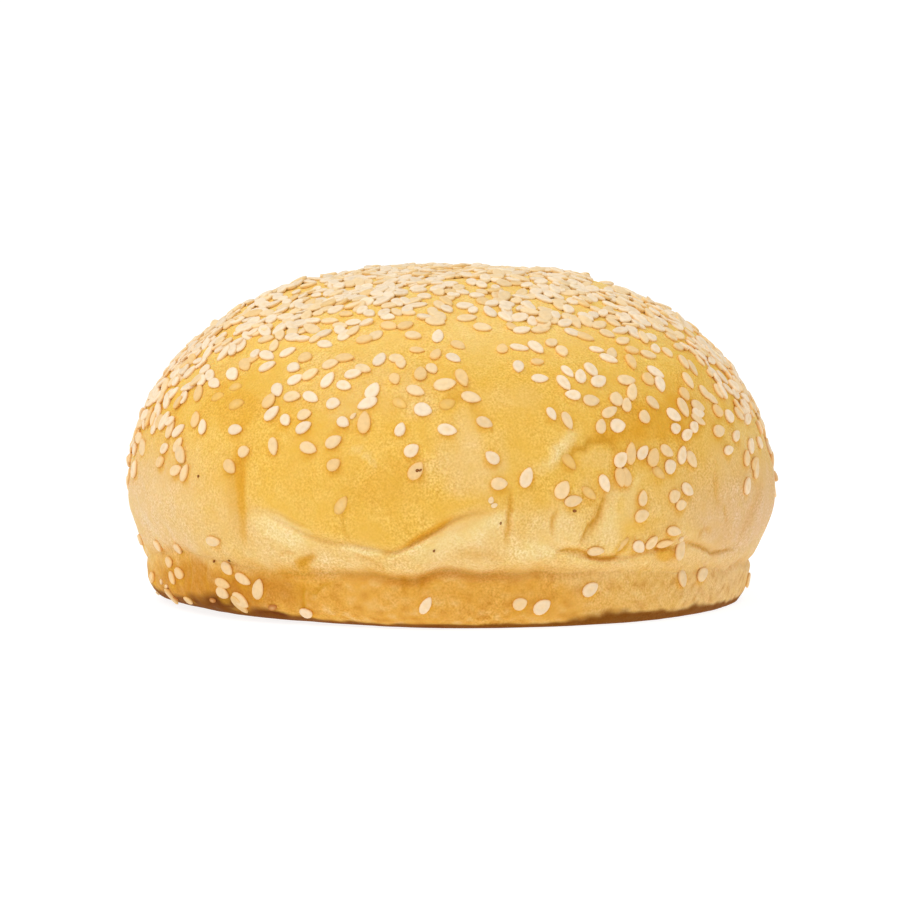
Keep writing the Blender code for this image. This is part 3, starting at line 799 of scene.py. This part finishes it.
def mesh_object(name, points, faces):
    """A smooth mesh from points and from arrays of faces, each array with its own corner count."""
    corners = np.concatenate([np.ravel(some) for some in faces]).astype(np.int32)
    sizes = np.concatenate([np.full(len(some), some.shape[1]) for some in faces])
    starts = np.concatenate(((0,), np.cumsum(sizes)[:-1])).astype(np.int32)
    mesh = bpy.data.meshes.new(name)
    mesh.vertices.add(len(points))
    mesh.vertices.foreach_set("co", np.ravel(points).astype(np.float32))
    mesh.loops.add(len(corners))
    mesh.loops.foreach_set("vertex_index", corners)
    mesh.polygons.add(len(sizes))
    mesh.polygons.foreach_set("loop_start", starts)
    mesh.update(calc_edges=True)
    mesh.shade_smooth()
    return add_object(name, mesh)


def colour_points(item, colours):
    """Give each point of a mesh its colour."""
    layer = item.data.attributes.new("shade", "FLOAT_COLOR", "POINT")
    filled = np.column_stack((np.clip(colours, 0.0, 1.0), np.ones(len(colours))))
    layer.data.foreach_set("color", np.ravel(filled).astype(np.float32))


def between_rows(rows):
    """Faces between neighbouring rows of point numbers that run round the bun."""
    low, high = rows[:-1], rows[1:]
    corners = (low, np.roll(low, -1, axis=1), np.roll(high, -1, axis=1), high)
    return np.stack(corners, axis=-1).reshape(-1, 4)


def fan(ring, tip):
    """Triangles from a ring of point numbers to a tip."""
    return np.column_stack((ring, np.roll(ring, -1), np.full(len(ring), tip)))


def halving(low, high):
    """Triangles between a row of point numbers and the row above it, which has every other point."""
    even, odd = low[::2], low[1::2]
    next_even, next_high = np.roll(even, -1), np.roll(high, -1)
    return np.concatenate((np.column_stack((even, odd, high)), np.column_stack((odd, next_high, high)),
                           np.column_stack((odd, next_even, next_high))))


def crust_spots():
    """Azimuths and heights of the crust's points: rows of its body, rows of its dome and its crown."""
    turn = np.arange(POINTS_AROUND) * 2 * math.pi / POINTS_AROUND
    around = np.degrees(turn - FRONT_CROWDING * np.sin(turn))
    shoulder = dome_part(SHOULDER_HEIGHT)
    dome = [dome_height(shoulder + (1 - shoulder) * row / DOME_ROWS) for row in range(DOME_ROWS)]
    azimuth = np.concatenate((np.tile(around, BODY_ROWS), np.tile(around[::2], DOME_ROWS), (0.0,)))
    height = np.concatenate((body_heights(around).ravel(), np.repeat(dome, POINTS_AROUND // 2),
                             (CROWN_HEIGHT,)))
    return azimuth, height


def crust_points(azimuth, height):
    """The crust's points, how deep each lies in the long folds, and how deep in the fine creases."""
    plain = plain_crust(azimuth, height)
    facing = outward(plain)
    broad = swells(plain, SWELLS, SWELL_SEED) + mounds(plain)
    cut = main_relief(azimuth, height)
    lines = wrinkle_relief(azimuth, height, plain + facing * (cut + broad)[:, None])
    fine = swells(plain, FINE_SWELLS, FINE_SWELL_SEED) + pleats(azimuth, height)
    points = plain + facing * (broad + cut + lines + fine)[:, None]
    points[:, 2] = np.maximum(points[:, 2], 0.0)
    return points, -cut, -lines


def make_crust(points):
    """The crust's object: its body, its dome, its crown and the rings of its flat underside."""
    body_points = BODY_ROWS * POINTS_AROUND
    body = np.arange(body_points).reshape(-1, POINTS_AROUND)
    dome = np.arange(body_points, len(points) - 1).reshape(-1, POINTS_AROUND // 2)
    shares = np.arange(UNDERSIDE_RINGS - 1, 0, -1) / UNDERSIDE_RINGS
    rings = np.concatenate([points[:POINTS_AROUND] * (share, share, 1.0) for share in shares])
    ring_rows = np.arange(len(rings)).reshape(-1, POINTS_AROUND) + len(points)
    middle = len(points) + len(rings)
    quads = np.concatenate((between_rows(np.concatenate((ring_rows[::-1], body))), between_rows(dome)))
    triangles = np.concatenate((halving(body[-1], dome[0]), fan(dome[-1], len(points) - 1),
                                fan(ring_rows[-1][::-1], middle)))
    everything = np.concatenate((points, rings, [(0.0, 0.0, 0.0)]))
    return mesh_object("baked_crust", everything, (quads, triangles))


def values_of(parts, name, form, each=1):
    """What all parts of a mesh say under a name, as numbers of a form."""
    values = np.empty(len(parts) * each, dtype=form)
    parts.foreach_get(name, values)
    return values


def facing_of(item, count):
    """The ways that the first points of a mesh face."""
    facing = values_of(item.data.vertex_normals, "vector", np.float32, each=3)
    return facing.reshape(-1, 3)[:count].astype(float)


def spread_of(item, count):
    """Area of the mesh round each of its first points."""
    areas = values_of(item.data.polygons, "area", np.float32)
    sizes = values_of(item.data.polygons, "loop_total", np.int32)
    corners = values_of(item.data.loops, "vertex_index", np.int32)
    return np.bincount(corners, np.repeat(areas / sizes, sizes))[:count]


def in_plane(way, facing):
    """A way laid into the plane that a facing is square to, at unit length."""
    flat = way - facing * (way @ facing)
    return flat / np.linalg.norm(flat)


def way_shown(turn, point, facing):
    """The way in the crust's plane that appears in the photograph at a turn from the right."""
    place, right, up, _ = camera_axes()
    shown = right * math.cos(math.radians(turn)) + up * math.sin(math.radians(turn))
    look = (point - place) / np.linalg.norm(point - place)
    return in_plane(shown - look * (shown @ facing) / (look @ facing), facing)


def read_seeds(points, facing):
    """The seeds and crumbs read from the photograph."""
    seeds = []
    middles = points + facing * (SEED_THICKNESS / 2 - SEED_SINK)
    for kind, listed in READ_KINDS.items():
        spots = spots_at_pixels([(x, y) for x, y, *_ in listed], middles, facing)
        for spot, (_, _, turn, *lift) in zip(spots, listed):
            way = way_shown(turn, points[spot], facing[spot])
            seeds.append(Seed(points[spot], facing[spot], way, sum(lift) * MM, kind, spot))
    return seeds


def drawn_where(points, facing, azimuth, height, spread):
    """Chance of a drawn seed at each crust point: its cover, the strays low on the unseen sides, no
    seed where they are read one by one or the crust shows bare."""
    cover = round_the_bun(COVER_STOPS, azimuth) * MM
    chance = ramp(height, cover - COVER_SPREAD, cover + COVER_SPREAD)
    unseen = np.cos(np.radians(azimuth)) < 0
    clumps = ramp(swells(points, STRAY_CLUMPS, STRAY_SEED), *CLUMP_EDGE)
    low = (height > STRAY_BOTTOM) & (height < STRAY_TOP)
    chance += STRAY_CHANCE * clumps * (unseen & low)
    across, down = photo_pixels(points).T
    start, level = np.array(READ_FROM, dtype=float).T
    seen = seen_by_camera(points, facing)
    below = down - np.interp(across, start, level)
    chance *= np.where(seen, 1 - ramp(below, -READ_FADE, READ_FADE), 1.0)
    for x, y, half_width, half_height in BARE_SPOTS:
        inside = np.hypot((across - x) / half_width, (down - y) / half_height) < 1
        chance[seen & inside] = 0.0
    return chance * spread


def settle(point, facing, others, lifts):
    """Lift of a seed above the crust, and its facing, where it lies over earlier seeds."""
    gaps = others - point
    distance = np.linalg.norm(gaps, axis=1)
    over = np.clip(1 - distance / SEED_REACH, 0.0, 1.0)
    lift = ((lifts + STACK_LIFT) * ramp(over, 0.0, FULL_STACK)).max()
    lean = (gaps / distance[:, None] * over[:, None]).sum(axis=0)
    leaning = facing - STACK_TILT * lean
    return lift, leaning / np.linalg.norm(leaning)


def all_seeds(points, facing, azimuth, height, spread):
    """Every seed, those read from the photograph first and then those drawn by rule."""
    draw = np.random.default_rng(SEED_DRAW)
    seeds = read_seeds(points, facing)
    places = np.array([seed.place for seed in seeds])
    lifts = np.zeros(len(seeds))
    chance = drawn_where(points, facing, azimuth, height, spread)
    kinds, shares = zip(*DRAWN_KINDS)
    for spot in draw.choice(len(points), size=SEED_TRIES, p=chance / chance.sum()):
        up = facing[spot]
        way = in_plane(draw.normal(size=3), up)
        point = points[spot] + in_plane(draw.normal(size=3), up) * draw.uniform(0.0, SEED_SHIFT) * MM
        if np.linalg.norm(places - point, axis=1).min() < SEED_GAP * draw.uniform(*GAP_SPREAD):
            continue
        lift, leaning = settle(point, up, places, lifts)
        leaning = leaning + draw.normal(0.0, SEED_TILT, 3)
        leaning /= np.linalg.norm(leaning)
        kind = draw.choice(kinds, p=shares)
        seeds.append(Seed(point, leaning, in_plane(way, leaning), lift, kind, spot))
        places = np.vstack((places, point))
        lifts = np.append(lifts, lift)
        if len(seeds) == SEED_COUNT:
            break
    return seeds


def seed_form():
    """Points, shares of the way from the upper middle to the rim and below it, and faces of a seed of
    unit size with its tip at +X."""
    angle = np.arange(SEED_SIDES) * 2 * math.pi / SEED_SIDES
    half_width = np.sin(angle) * np.abs(np.sin(angle / 2)) ** SEED_POINT
    outline = np.column_stack((np.cos(angle), half_width / half_width.max())) / 2
    rings = np.array(SEED_RINGS)
    rise = np.sqrt(1 - rings ** SEED_FLATNESS) / 2 - SEED_HOLLOW * (1 - rings ** 2) ** 2 / 2
    rings = np.append(rings, SEED_BASE)
    rise = np.append(rise, -0.5)
    flat = outline[None] * rings[:, None, None]
    level = np.repeat(rise, SEED_SIDES).reshape(len(rings), SEED_SIDES, 1)
    tips = np.array(((0.0, 0.0, (1 - SEED_HOLLOW) / 2), (0.0, 0.0, -0.5)))
    points = np.concatenate((np.concatenate((flat, level), axis=2).reshape(-1, 3), tips))
    shares = np.concatenate((np.repeat(SEED_RINGS, SEED_SIDES), np.full(SEED_SIDES, UNDER_SHARE),
                             (0.0, UNDER_SHARE)))
    rows = np.arange(len(rings) * SEED_SIDES).reshape(len(rings), SEED_SIDES)
    quads = between_rows(rows[::-1])
    ends = np.concatenate((fan(rows[0], len(points) - 2), fan(rows[-1][::-1], len(points) - 1)))
    return points, shares, quads, ends


def seed_points(seed, form, draw):
    """Points of a seed from those of its unit form, sized, turned and sunk into the crust."""
    size = np.array((SEED_LENGTH, SEED_WIDTH, SEED_THICKNESS)) * CRUMB_SIZES.get(seed.kind, 1.0)
    size = size * np.clip(draw.normal(1.0, SEED_SIZE_SPREAD, 3), *SEED_SIZE_LIMITS)
    axes = np.array((seed.way, np.cross(seed.facing, seed.way), seed.facing))
    sink = (SUNKEN_DEPTH if seed.kind == "sunken" else SEED_SINK) * size[2] / SEED_THICKNESS
    return seed.place + seed.facing * (size[2] / 2 - sink + seed.lift) + (form * size) @ axes


def seed_colours(seed, shares, crust_shade, draw):
    """Colours of a seed's points, from their shares of the way from its upper middle to its rim."""
    height = seed.place[2]
    shade = linear(SEED_SHADES[seed.kind]) * draw.normal(1.0, SEED_SHADE_SPREAD)
    shade = part_way(shade, crust_shade, GLOW_SHARES.get(seed.kind, 0.0))
    husk_and_shade = HUSK_SHARE * np.clip(1 - shares, 0.0, 1.0) ** HUSK_POWER * draw.uniform(*HUSK_SPREAD)
    # Painted shade: seeds low on the bun take more of the husk's colour
    if seed.kind not in CRUMB_SIZES:
        husk_and_shade = husk_and_shade + LOW_SEED_SHADE * (1 - ramp(height, *SHADED_SEED_HEIGHTS))
    shade = part_way(shade, linear(HUSK), husk_and_shade[:, None])
    # Golden rim and underside: toasted edge with painted warm shade, a darker painted shade round a
    # sunken seed, and painted light on the top of the bun
    edge = linear(SUNKEN_RIM_SHADE if seed.kind == "sunken" else RIM)
    edge = part_way(edge, linear(LIT_TOP_RIM), ramp(height, *LIT_RIM_HEIGHTS))
    rim = ramp(shares, RIM_START, UNDER_SHARE) * RIM_SHARES.get(seed.kind, 0.0)
    return part_way(shade, edge, rim[:, None])


def make_seeds(name, seeds, crust_shades, draw):
    """One piece of seeds, joined from arrays."""
    form, shares, quads, ends = seed_form()
    points, colours = [], []
    for seed in seeds:
        points.append(seed_points(seed, form, draw))
        colours.append(seed_colours(seed, shares, crust_shades[seed.spot], draw))
    numbers = np.arange(len(seeds))[:, None, None] * len(form)
    faces = [(some[None] + numbers).reshape(-1, some.shape[1]) for some in (quads, ends)]
    item = mesh_object(name, np.concatenate(points), faces)
    colour_points(item, np.concatenate(colours))
    return item


def blend(base, *layers):
    """Colours with layers over them: each a colour out of 255 and its share at every point."""
    for colour, share in layers:
        base = part_way(base, linear(colour), share[:, None])
    return base


def painted_seed_shading(points, seeds):
    """How close each crust point lies to the lower side of a seed, from 0 to 1, for painted shadow and
    light.
    """
    tree = KDTree(len(seeds))
    for number, seed in enumerate(seeds):
        if seed.kind not in CRUMB_SIZES:
            tree.insert(seed.place - (0.0, 0.0, SEED_SHADOW_DROP), number)
    tree.balance()
    distance = np.array([tree.find(point)[2] for point in points])
    return 1 - ramp(distance, *SEED_SHADOW_REACH)


def patch_share(points, facing, x, y, half_width, half_height, turn):
    """Share of a patch with a ragged edge at each crust point that the camera sees."""
    right, down = (photo_pixels(points) - (x, y)).T
    sine, cosine = math.sin(math.radians(turn)), math.cos(math.radians(turn))
    along = (right * cosine - down * sine) / half_width
    distance = np.hypot(along, (right * sine + down * cosine) / half_height)
    distance += swells(points, PATCH_EDGE, PATCH_SEED)
    return (1 - ramp(distance, *PATCH_FADE)) * seen_by_camera(points, facing)


def plain_colours(points, azimuth, height):
    """Gold above the fold, cream where the dough stretched under it, an amber foot, painted light on the
    top and left edge, painted shade on the right.
    """
    fold = fold_height(azimuth)
    waist = waist_height(azimuth)
    side = np.sin(np.radians(azimuth))
    low = 1 - ramp(height, *LOW_HEIGHTS)
    soft = part_way(*CREAM_FADES, np.clip(fold_depth(azimuth) / MM, 0.0, 1.0)) * MM
    cream = np.clip(round_the_bun(PALE_STOPS, azimuth), 0.0, 1.0)
    stretched = cream * (1 - ramp(height, fold - soft, fold + soft))
    crisp = np.clip(round_the_bun(WAIST_DEPTH_STOPS, azimuth), 0.0, 1.0)
    fade = part_way(*FOOT_FADES, crisp)
    edge = waist + swells(points, FOOT_WAVES, FOOT_SEED) * (1 - DEEP_WAIST_CALM * crisp)
    foot = 1 - ramp(height, edge - fade, edge + fade)
    amber = AMBER_SHARE - AMBER_LOSS * ramp(side, *AMBER_LOSS_SIDES)
    mottle = swells(points, MOTTLE, FOOT_SEED)
    return blend(np.tile(linear(GOLD), (len(azimuth), 1)),
                 # The top's lighter gold and the left's pale edge are painted light, the right's tan is
                 # painted shade
                 (LIT_TOP_GOLD, ramp(height, *LIT_TOP_HEIGHTS)),
                 (SHADED_RIGHT_TAN, RIGHT_SHADE_SHARE * ramp(side, *RIGHT_SHADE_SIDES) * low),
                 (LIT_LEFT_EDGE, LEFT_LIGHT_SHARE * ramp(-side, *LEFT_LIGHT_SIDES) * low),
                 (CREAM, stretched),
                 (AMBER, foot * amber),
                 (BURNT_AMBER, MOTTLE_SHARE * foot * ramp(mottle, 0.0, MOTTLE_FULL)),
                 (CREAM, MOTTLE_SHARE * foot * ramp(-mottle, 0.0, MOTTLE_FULL)))


def crust_colours(points, facing, azimuth, height, depth, lines, seed_shading):
    """Plain colours with the patches, painted shadow below seeds and painted light between them on top,
    the shade in folds and creases, and the browned lower edge with painted contact shadow.
    """
    colours = plain_colours(points, azimuth, height)
    for colour, patches in PATCHES:
        for strength, *form in patches:
            colours = blend(colours, (colour, strength * patch_share(points, facing, *form)))
    top = ramp(height, *SHADOW_TO_LIGHT_HEIGHTS)
    deep = np.clip(depth / FULL_FOLD_DEPTH, 0.0, 1.0) ** FOLD_SHARE_POWER
    ragged = 1 + swells(points, BROWN_WAVES, BROWN_SEED)
    brown = round_the_bun(BROWN_STOPS, azimuth) * MM * np.clip(ragged, *BROWN_LIMITS)
    start, end = BROWN_FADE
    return blend(colours,
                 # Painted shadow below each seed, and higher up painted light between the seeds
                 (DEEP_GOLD, SEED_SHADOW_SHARE * seed_shading * (1 - top)),
                 (PAINTED_GAP_LIGHT, GAP_LIGHT_SHARE * seed_shading * top),
                 (FOLD_SHADE, FOLD_SHARE * deep),
                 (FOLD_SHADE, LINE_SHARE * np.clip(lines / FULL_LINE_DEPTH, 0.0, 1.0)),
                 (PALE_CREAM, RIDGE_SHARE * np.clip(-lines / FULL_LINE_DEPTH, 0.0, 1.0)),
                 # The browned lower edge, darkened further by painted contact shadow
                 (BROWNING_AND_CONTACT_SHADE, BROWN_SHARE * (1 - ramp(height, start * brown, end * brown))))


def colour_crust(item, colours):
    """Colour the crust's own points, and its flat underside as baked against a tray."""
    underside = np.tile(linear(UNDERSIDE), (len(item.data.vertices) - len(colours), 1))
    colour_points(item, np.concatenate((colours, underside)))


def set_inputs(tree, node, **inputs):
    """Give a node's inputs their values, or link other nodes' outputs to them."""
    for name, value in inputs.items():
        socket = node.inputs[name.replace("_", " ")]
        if isinstance(value, bpy.types.NodeSocket):
            tree.links.new(value, socket)
        else:
            socket.default_value = value


def add_node(tree, kind, settings=None, **inputs):
    """A shader node with its settings, and its inputs as values or as other nodes' outputs."""
    node = tree.nodes.new(kind)
    for name, value in (settings or {}).items():
        setattr(node, name, value)
    set_inputs(tree, node, **inputs)
    return node


def noise(tree, place, size, detail=NOISE_DETAIL):
    """Output of a noise whose features have a size in metres."""
    node = add_node(tree, "ShaderNodeTexNoise", Vector=place, Scale=1 / size, Detail=detail)
    return node.outputs["Fac"]


def mapped(tree, value, low, high):
    """A noise's middle range stretched to run from low to high."""
    start, end = NOISE_MIDDLE
    node = add_node(tree, "ShaderNodeMapRange", Value=value, From_Min=start, From_Max=end, To_Min=low,
                    To_Max=high)
    return node.outputs["Result"]


def mottled(tree, place, size, low, high, detail=NOISE_DETAIL):
    """A noise of a size in metres that runs from low to high."""
    return mapped(tree, noise(tree, place, size, detail), low, high)


def mix_colour(tree, share, base, colour):
    """A colour a share of the way from a base to another."""
    node = add_node(tree, "ShaderNodeMixRGB", Fac=share, Color1=base, Color2=colour)
    return node.outputs["Color"]


def tinted(tree, colour, tint):
    """A colour with each of its channels multiplied."""
    node = add_node(tree, "ShaderNodeMixRGB", {"blend_type": "MULTIPLY"}, Fac=1.0, Color1=colour,
                    Color2=(*tint, 1.0))
    return node.outputs["Color"]


def bump(tree, place, size, depth, detail=NOISE_DETAIL, **under):
    """Fine relief of a size and a depth in metres, over the Normal of an earlier one if given."""
    height = noise(tree, place, size, detail)
    return add_node(tree, "ShaderNodeBump", Height=height, Distance=depth, **under).outputs["Normal"]


def new_material(name):
    """A material with its node tree and its surface node."""
    material = bpy.data.materials.new(name)
    material.use_nodes = True
    tree = material.node_tree
    return material, tree, tree.nodes["Principled BSDF"]


def place_and_shade(tree):
    """Where a point of a mesh lies, and its shade."""
    place = add_node(tree, "ShaderNodeTexCoord").outputs["Object"]
    shade = add_node(tree, "ShaderNodeAttribute", {"attribute_name": "shade"}).outputs["Color"]
    return place, shade


def crust_material():
    """Baked crust: cloudy gold with a fine grain, nearly matte, light passing a little way in."""
    material, tree, surface = new_material("crust_finish")
    place, colour = place_and_shade(tree)
    patchy = noise(tree, place, GRAIN_PATCH_SIZE)
    darkest, lightest = mapped(tree, patchy, *DARKEST_RANGE), mapped(tree, patchy, *LIGHTEST_RANGE)
    grain = mapped(tree, noise(tree, place, GRAIN_SIZE, FINE_DETAIL), darkest, lightest)
    for spots, tint in ((CLOUDS, CLOUD_TINT), (FLECKS, FLECK_TINT)):
        share = mottled(tree, place, *spots)
        colour = mix_colour(tree, share, colour, tinted(tree, colour, tint))
    colour = mix_colour(tree, grain, tinted(tree, colour, DARK_GRAIN),
                        tinted(tree, colour, LIGHT_GRAIN))
    pores = bump(tree, place, *PORES, FINE_DETAIL, Normal=bump(tree, place, *DIMPLES))
    set_inputs(tree, surface, Base_Color=colour, Normal=pores,
               Roughness=mottled(tree, place, *ROUGHNESS), Specular_IOR_Level=CRUST_SHINE,
               Subsurface_Weight=CRUST_SOFTNESS, Subsurface_Radius=CRUST_REACH_SHARES,
               Subsurface_Scale=CRUST_REACH)
    return material


def seed_material(name, shine):
    """Hulled sesame, faintly oily, or crumbs that are matte."""
    material, tree, surface = new_material(name)
    place, shade = place_and_shade(tree)
    grain = mottled(tree, place, *SEED_GRAIN, FINE_DETAIL)
    scaled = add_node(tree, "ShaderNodeVectorMath", {"operation": "SCALE"}, Vector=shade, Scale=grain)
    set_inputs(tree, surface, Base_Color=scaled.outputs["Vector"], Normal=bump(tree, place, *SEED_BUMPS),
               Roughness=mottled(tree, place, *SEED_ROUGHNESS), Specular_IOR_Level=shine)
    return material


def floor_material():
    """Matte white floor with a glow of its own, so that only the nearest shadow shows."""
    material, tree, surface = new_material("floor_white")
    set_inputs(tree, surface, Base_Color=FLOOR_GREY, Roughness=FLOOR_ROUGHNESS, Emission_Color=WHITE,
               Emission_Strength=FLOOR_GLOW)
    return material


def make_floor():
    """A wide level floor at the bun's underside."""
    half = FLOOR_SIZE / 2
    corners = np.array(((-half, -half, 0.0), (half, -half, 0.0), (half, half, 0.0), (-half, half, 0.0)))
    floor = mesh_object("floor", corners, (np.array(((0, 1, 2, 3),)),))
    floor.data.materials.append(floor_material())
    return floor


def add_looking(name, data, place, way):
    """A light or a camera at a place, looking along a way."""
    item = add_object(name, data)
    item.location = place
    item.rotation_euler = way.to_track_quat("-Z", "Y").to_euler()
    return item


def add_light(name, place, size, watts, colour):
    """A soft square light at a place, turned to the bun."""
    light = bpy.data.lights.new(name, "AREA")
    light.size = size
    light.energy = watts
    light.color = colour
    add_looking(name, light, place, Vector((0.0, 0.0, AIM_HEIGHT)) - Vector(place))


def light_studio():
    """White surroundings and the soft lights."""
    world = bpy.data.worlds.new("studio")
    world.use_nodes = True
    tree = world.node_tree
    set_inputs(tree, tree.nodes["Background"], Color=WHITE, Strength=WORLD_STRENGTH)
    bpy.context.scene.world = world
    for name, settings in LIGHTS.items():
        add_light(name, *settings)
    bpy.context.scene.view_settings.view_transform = "Standard"


def set_camera():
    """A camera that frames the bun as the photograph does."""
    place, _, _, forward = camera_axes()
    camera = bpy.data.cameras.new("camera")
    camera.sensor_width = SENSOR_WIDTH
    camera.lens = SENSOR_WIDTH * CAMERA_DISTANCE / (PHOTO_PIXELS * PIXEL)
    bpy.context.scene.camera = add_looking("camera", camera, place, Vector(forward))


def main():
    """Build the pieces, give each its finish, tie each to its node, and set the studio round them."""
    azimuth, height = crust_spots()
    points, depth, lines = crust_points(azimuth, height)
    crust = make_crust(points)
    facing = facing_of(crust, len(points))
    seeds = all_seeds(points, facing, azimuth, height, spread_of(crust, len(points)))
    seed_shading = painted_seed_shading(points, seeds)
    shades = crust_colours(points, facing, azimuth, height, depth, lines, seed_shading)
    colour_crust(crust, shades)
    crust.data.materials.append(crust_material())
    draw = np.random.default_rng(SEED_DRAW)
    finishes = {"sesame": seed_material("seed_finish", SEED_SHINE),
                "crust": seed_material("crumb_finish", CRUMB_SHINE)}
    slots = {crust: "crust"}
    for name, (kinds, slot) in PIECES.items():
        piece = make_seeds(name, [seed for seed in seeds if seed.kind in kinds], shades, draw)
        piece.data.materials.append(finishes[slot])
        slots[piece] = slot
    for piece, slot in slots.items():
        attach(piece, "root")
        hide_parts("bun")
    make_floor()
    light_studio()
    set_camera()


main()
bpy.context.view_layer.update()
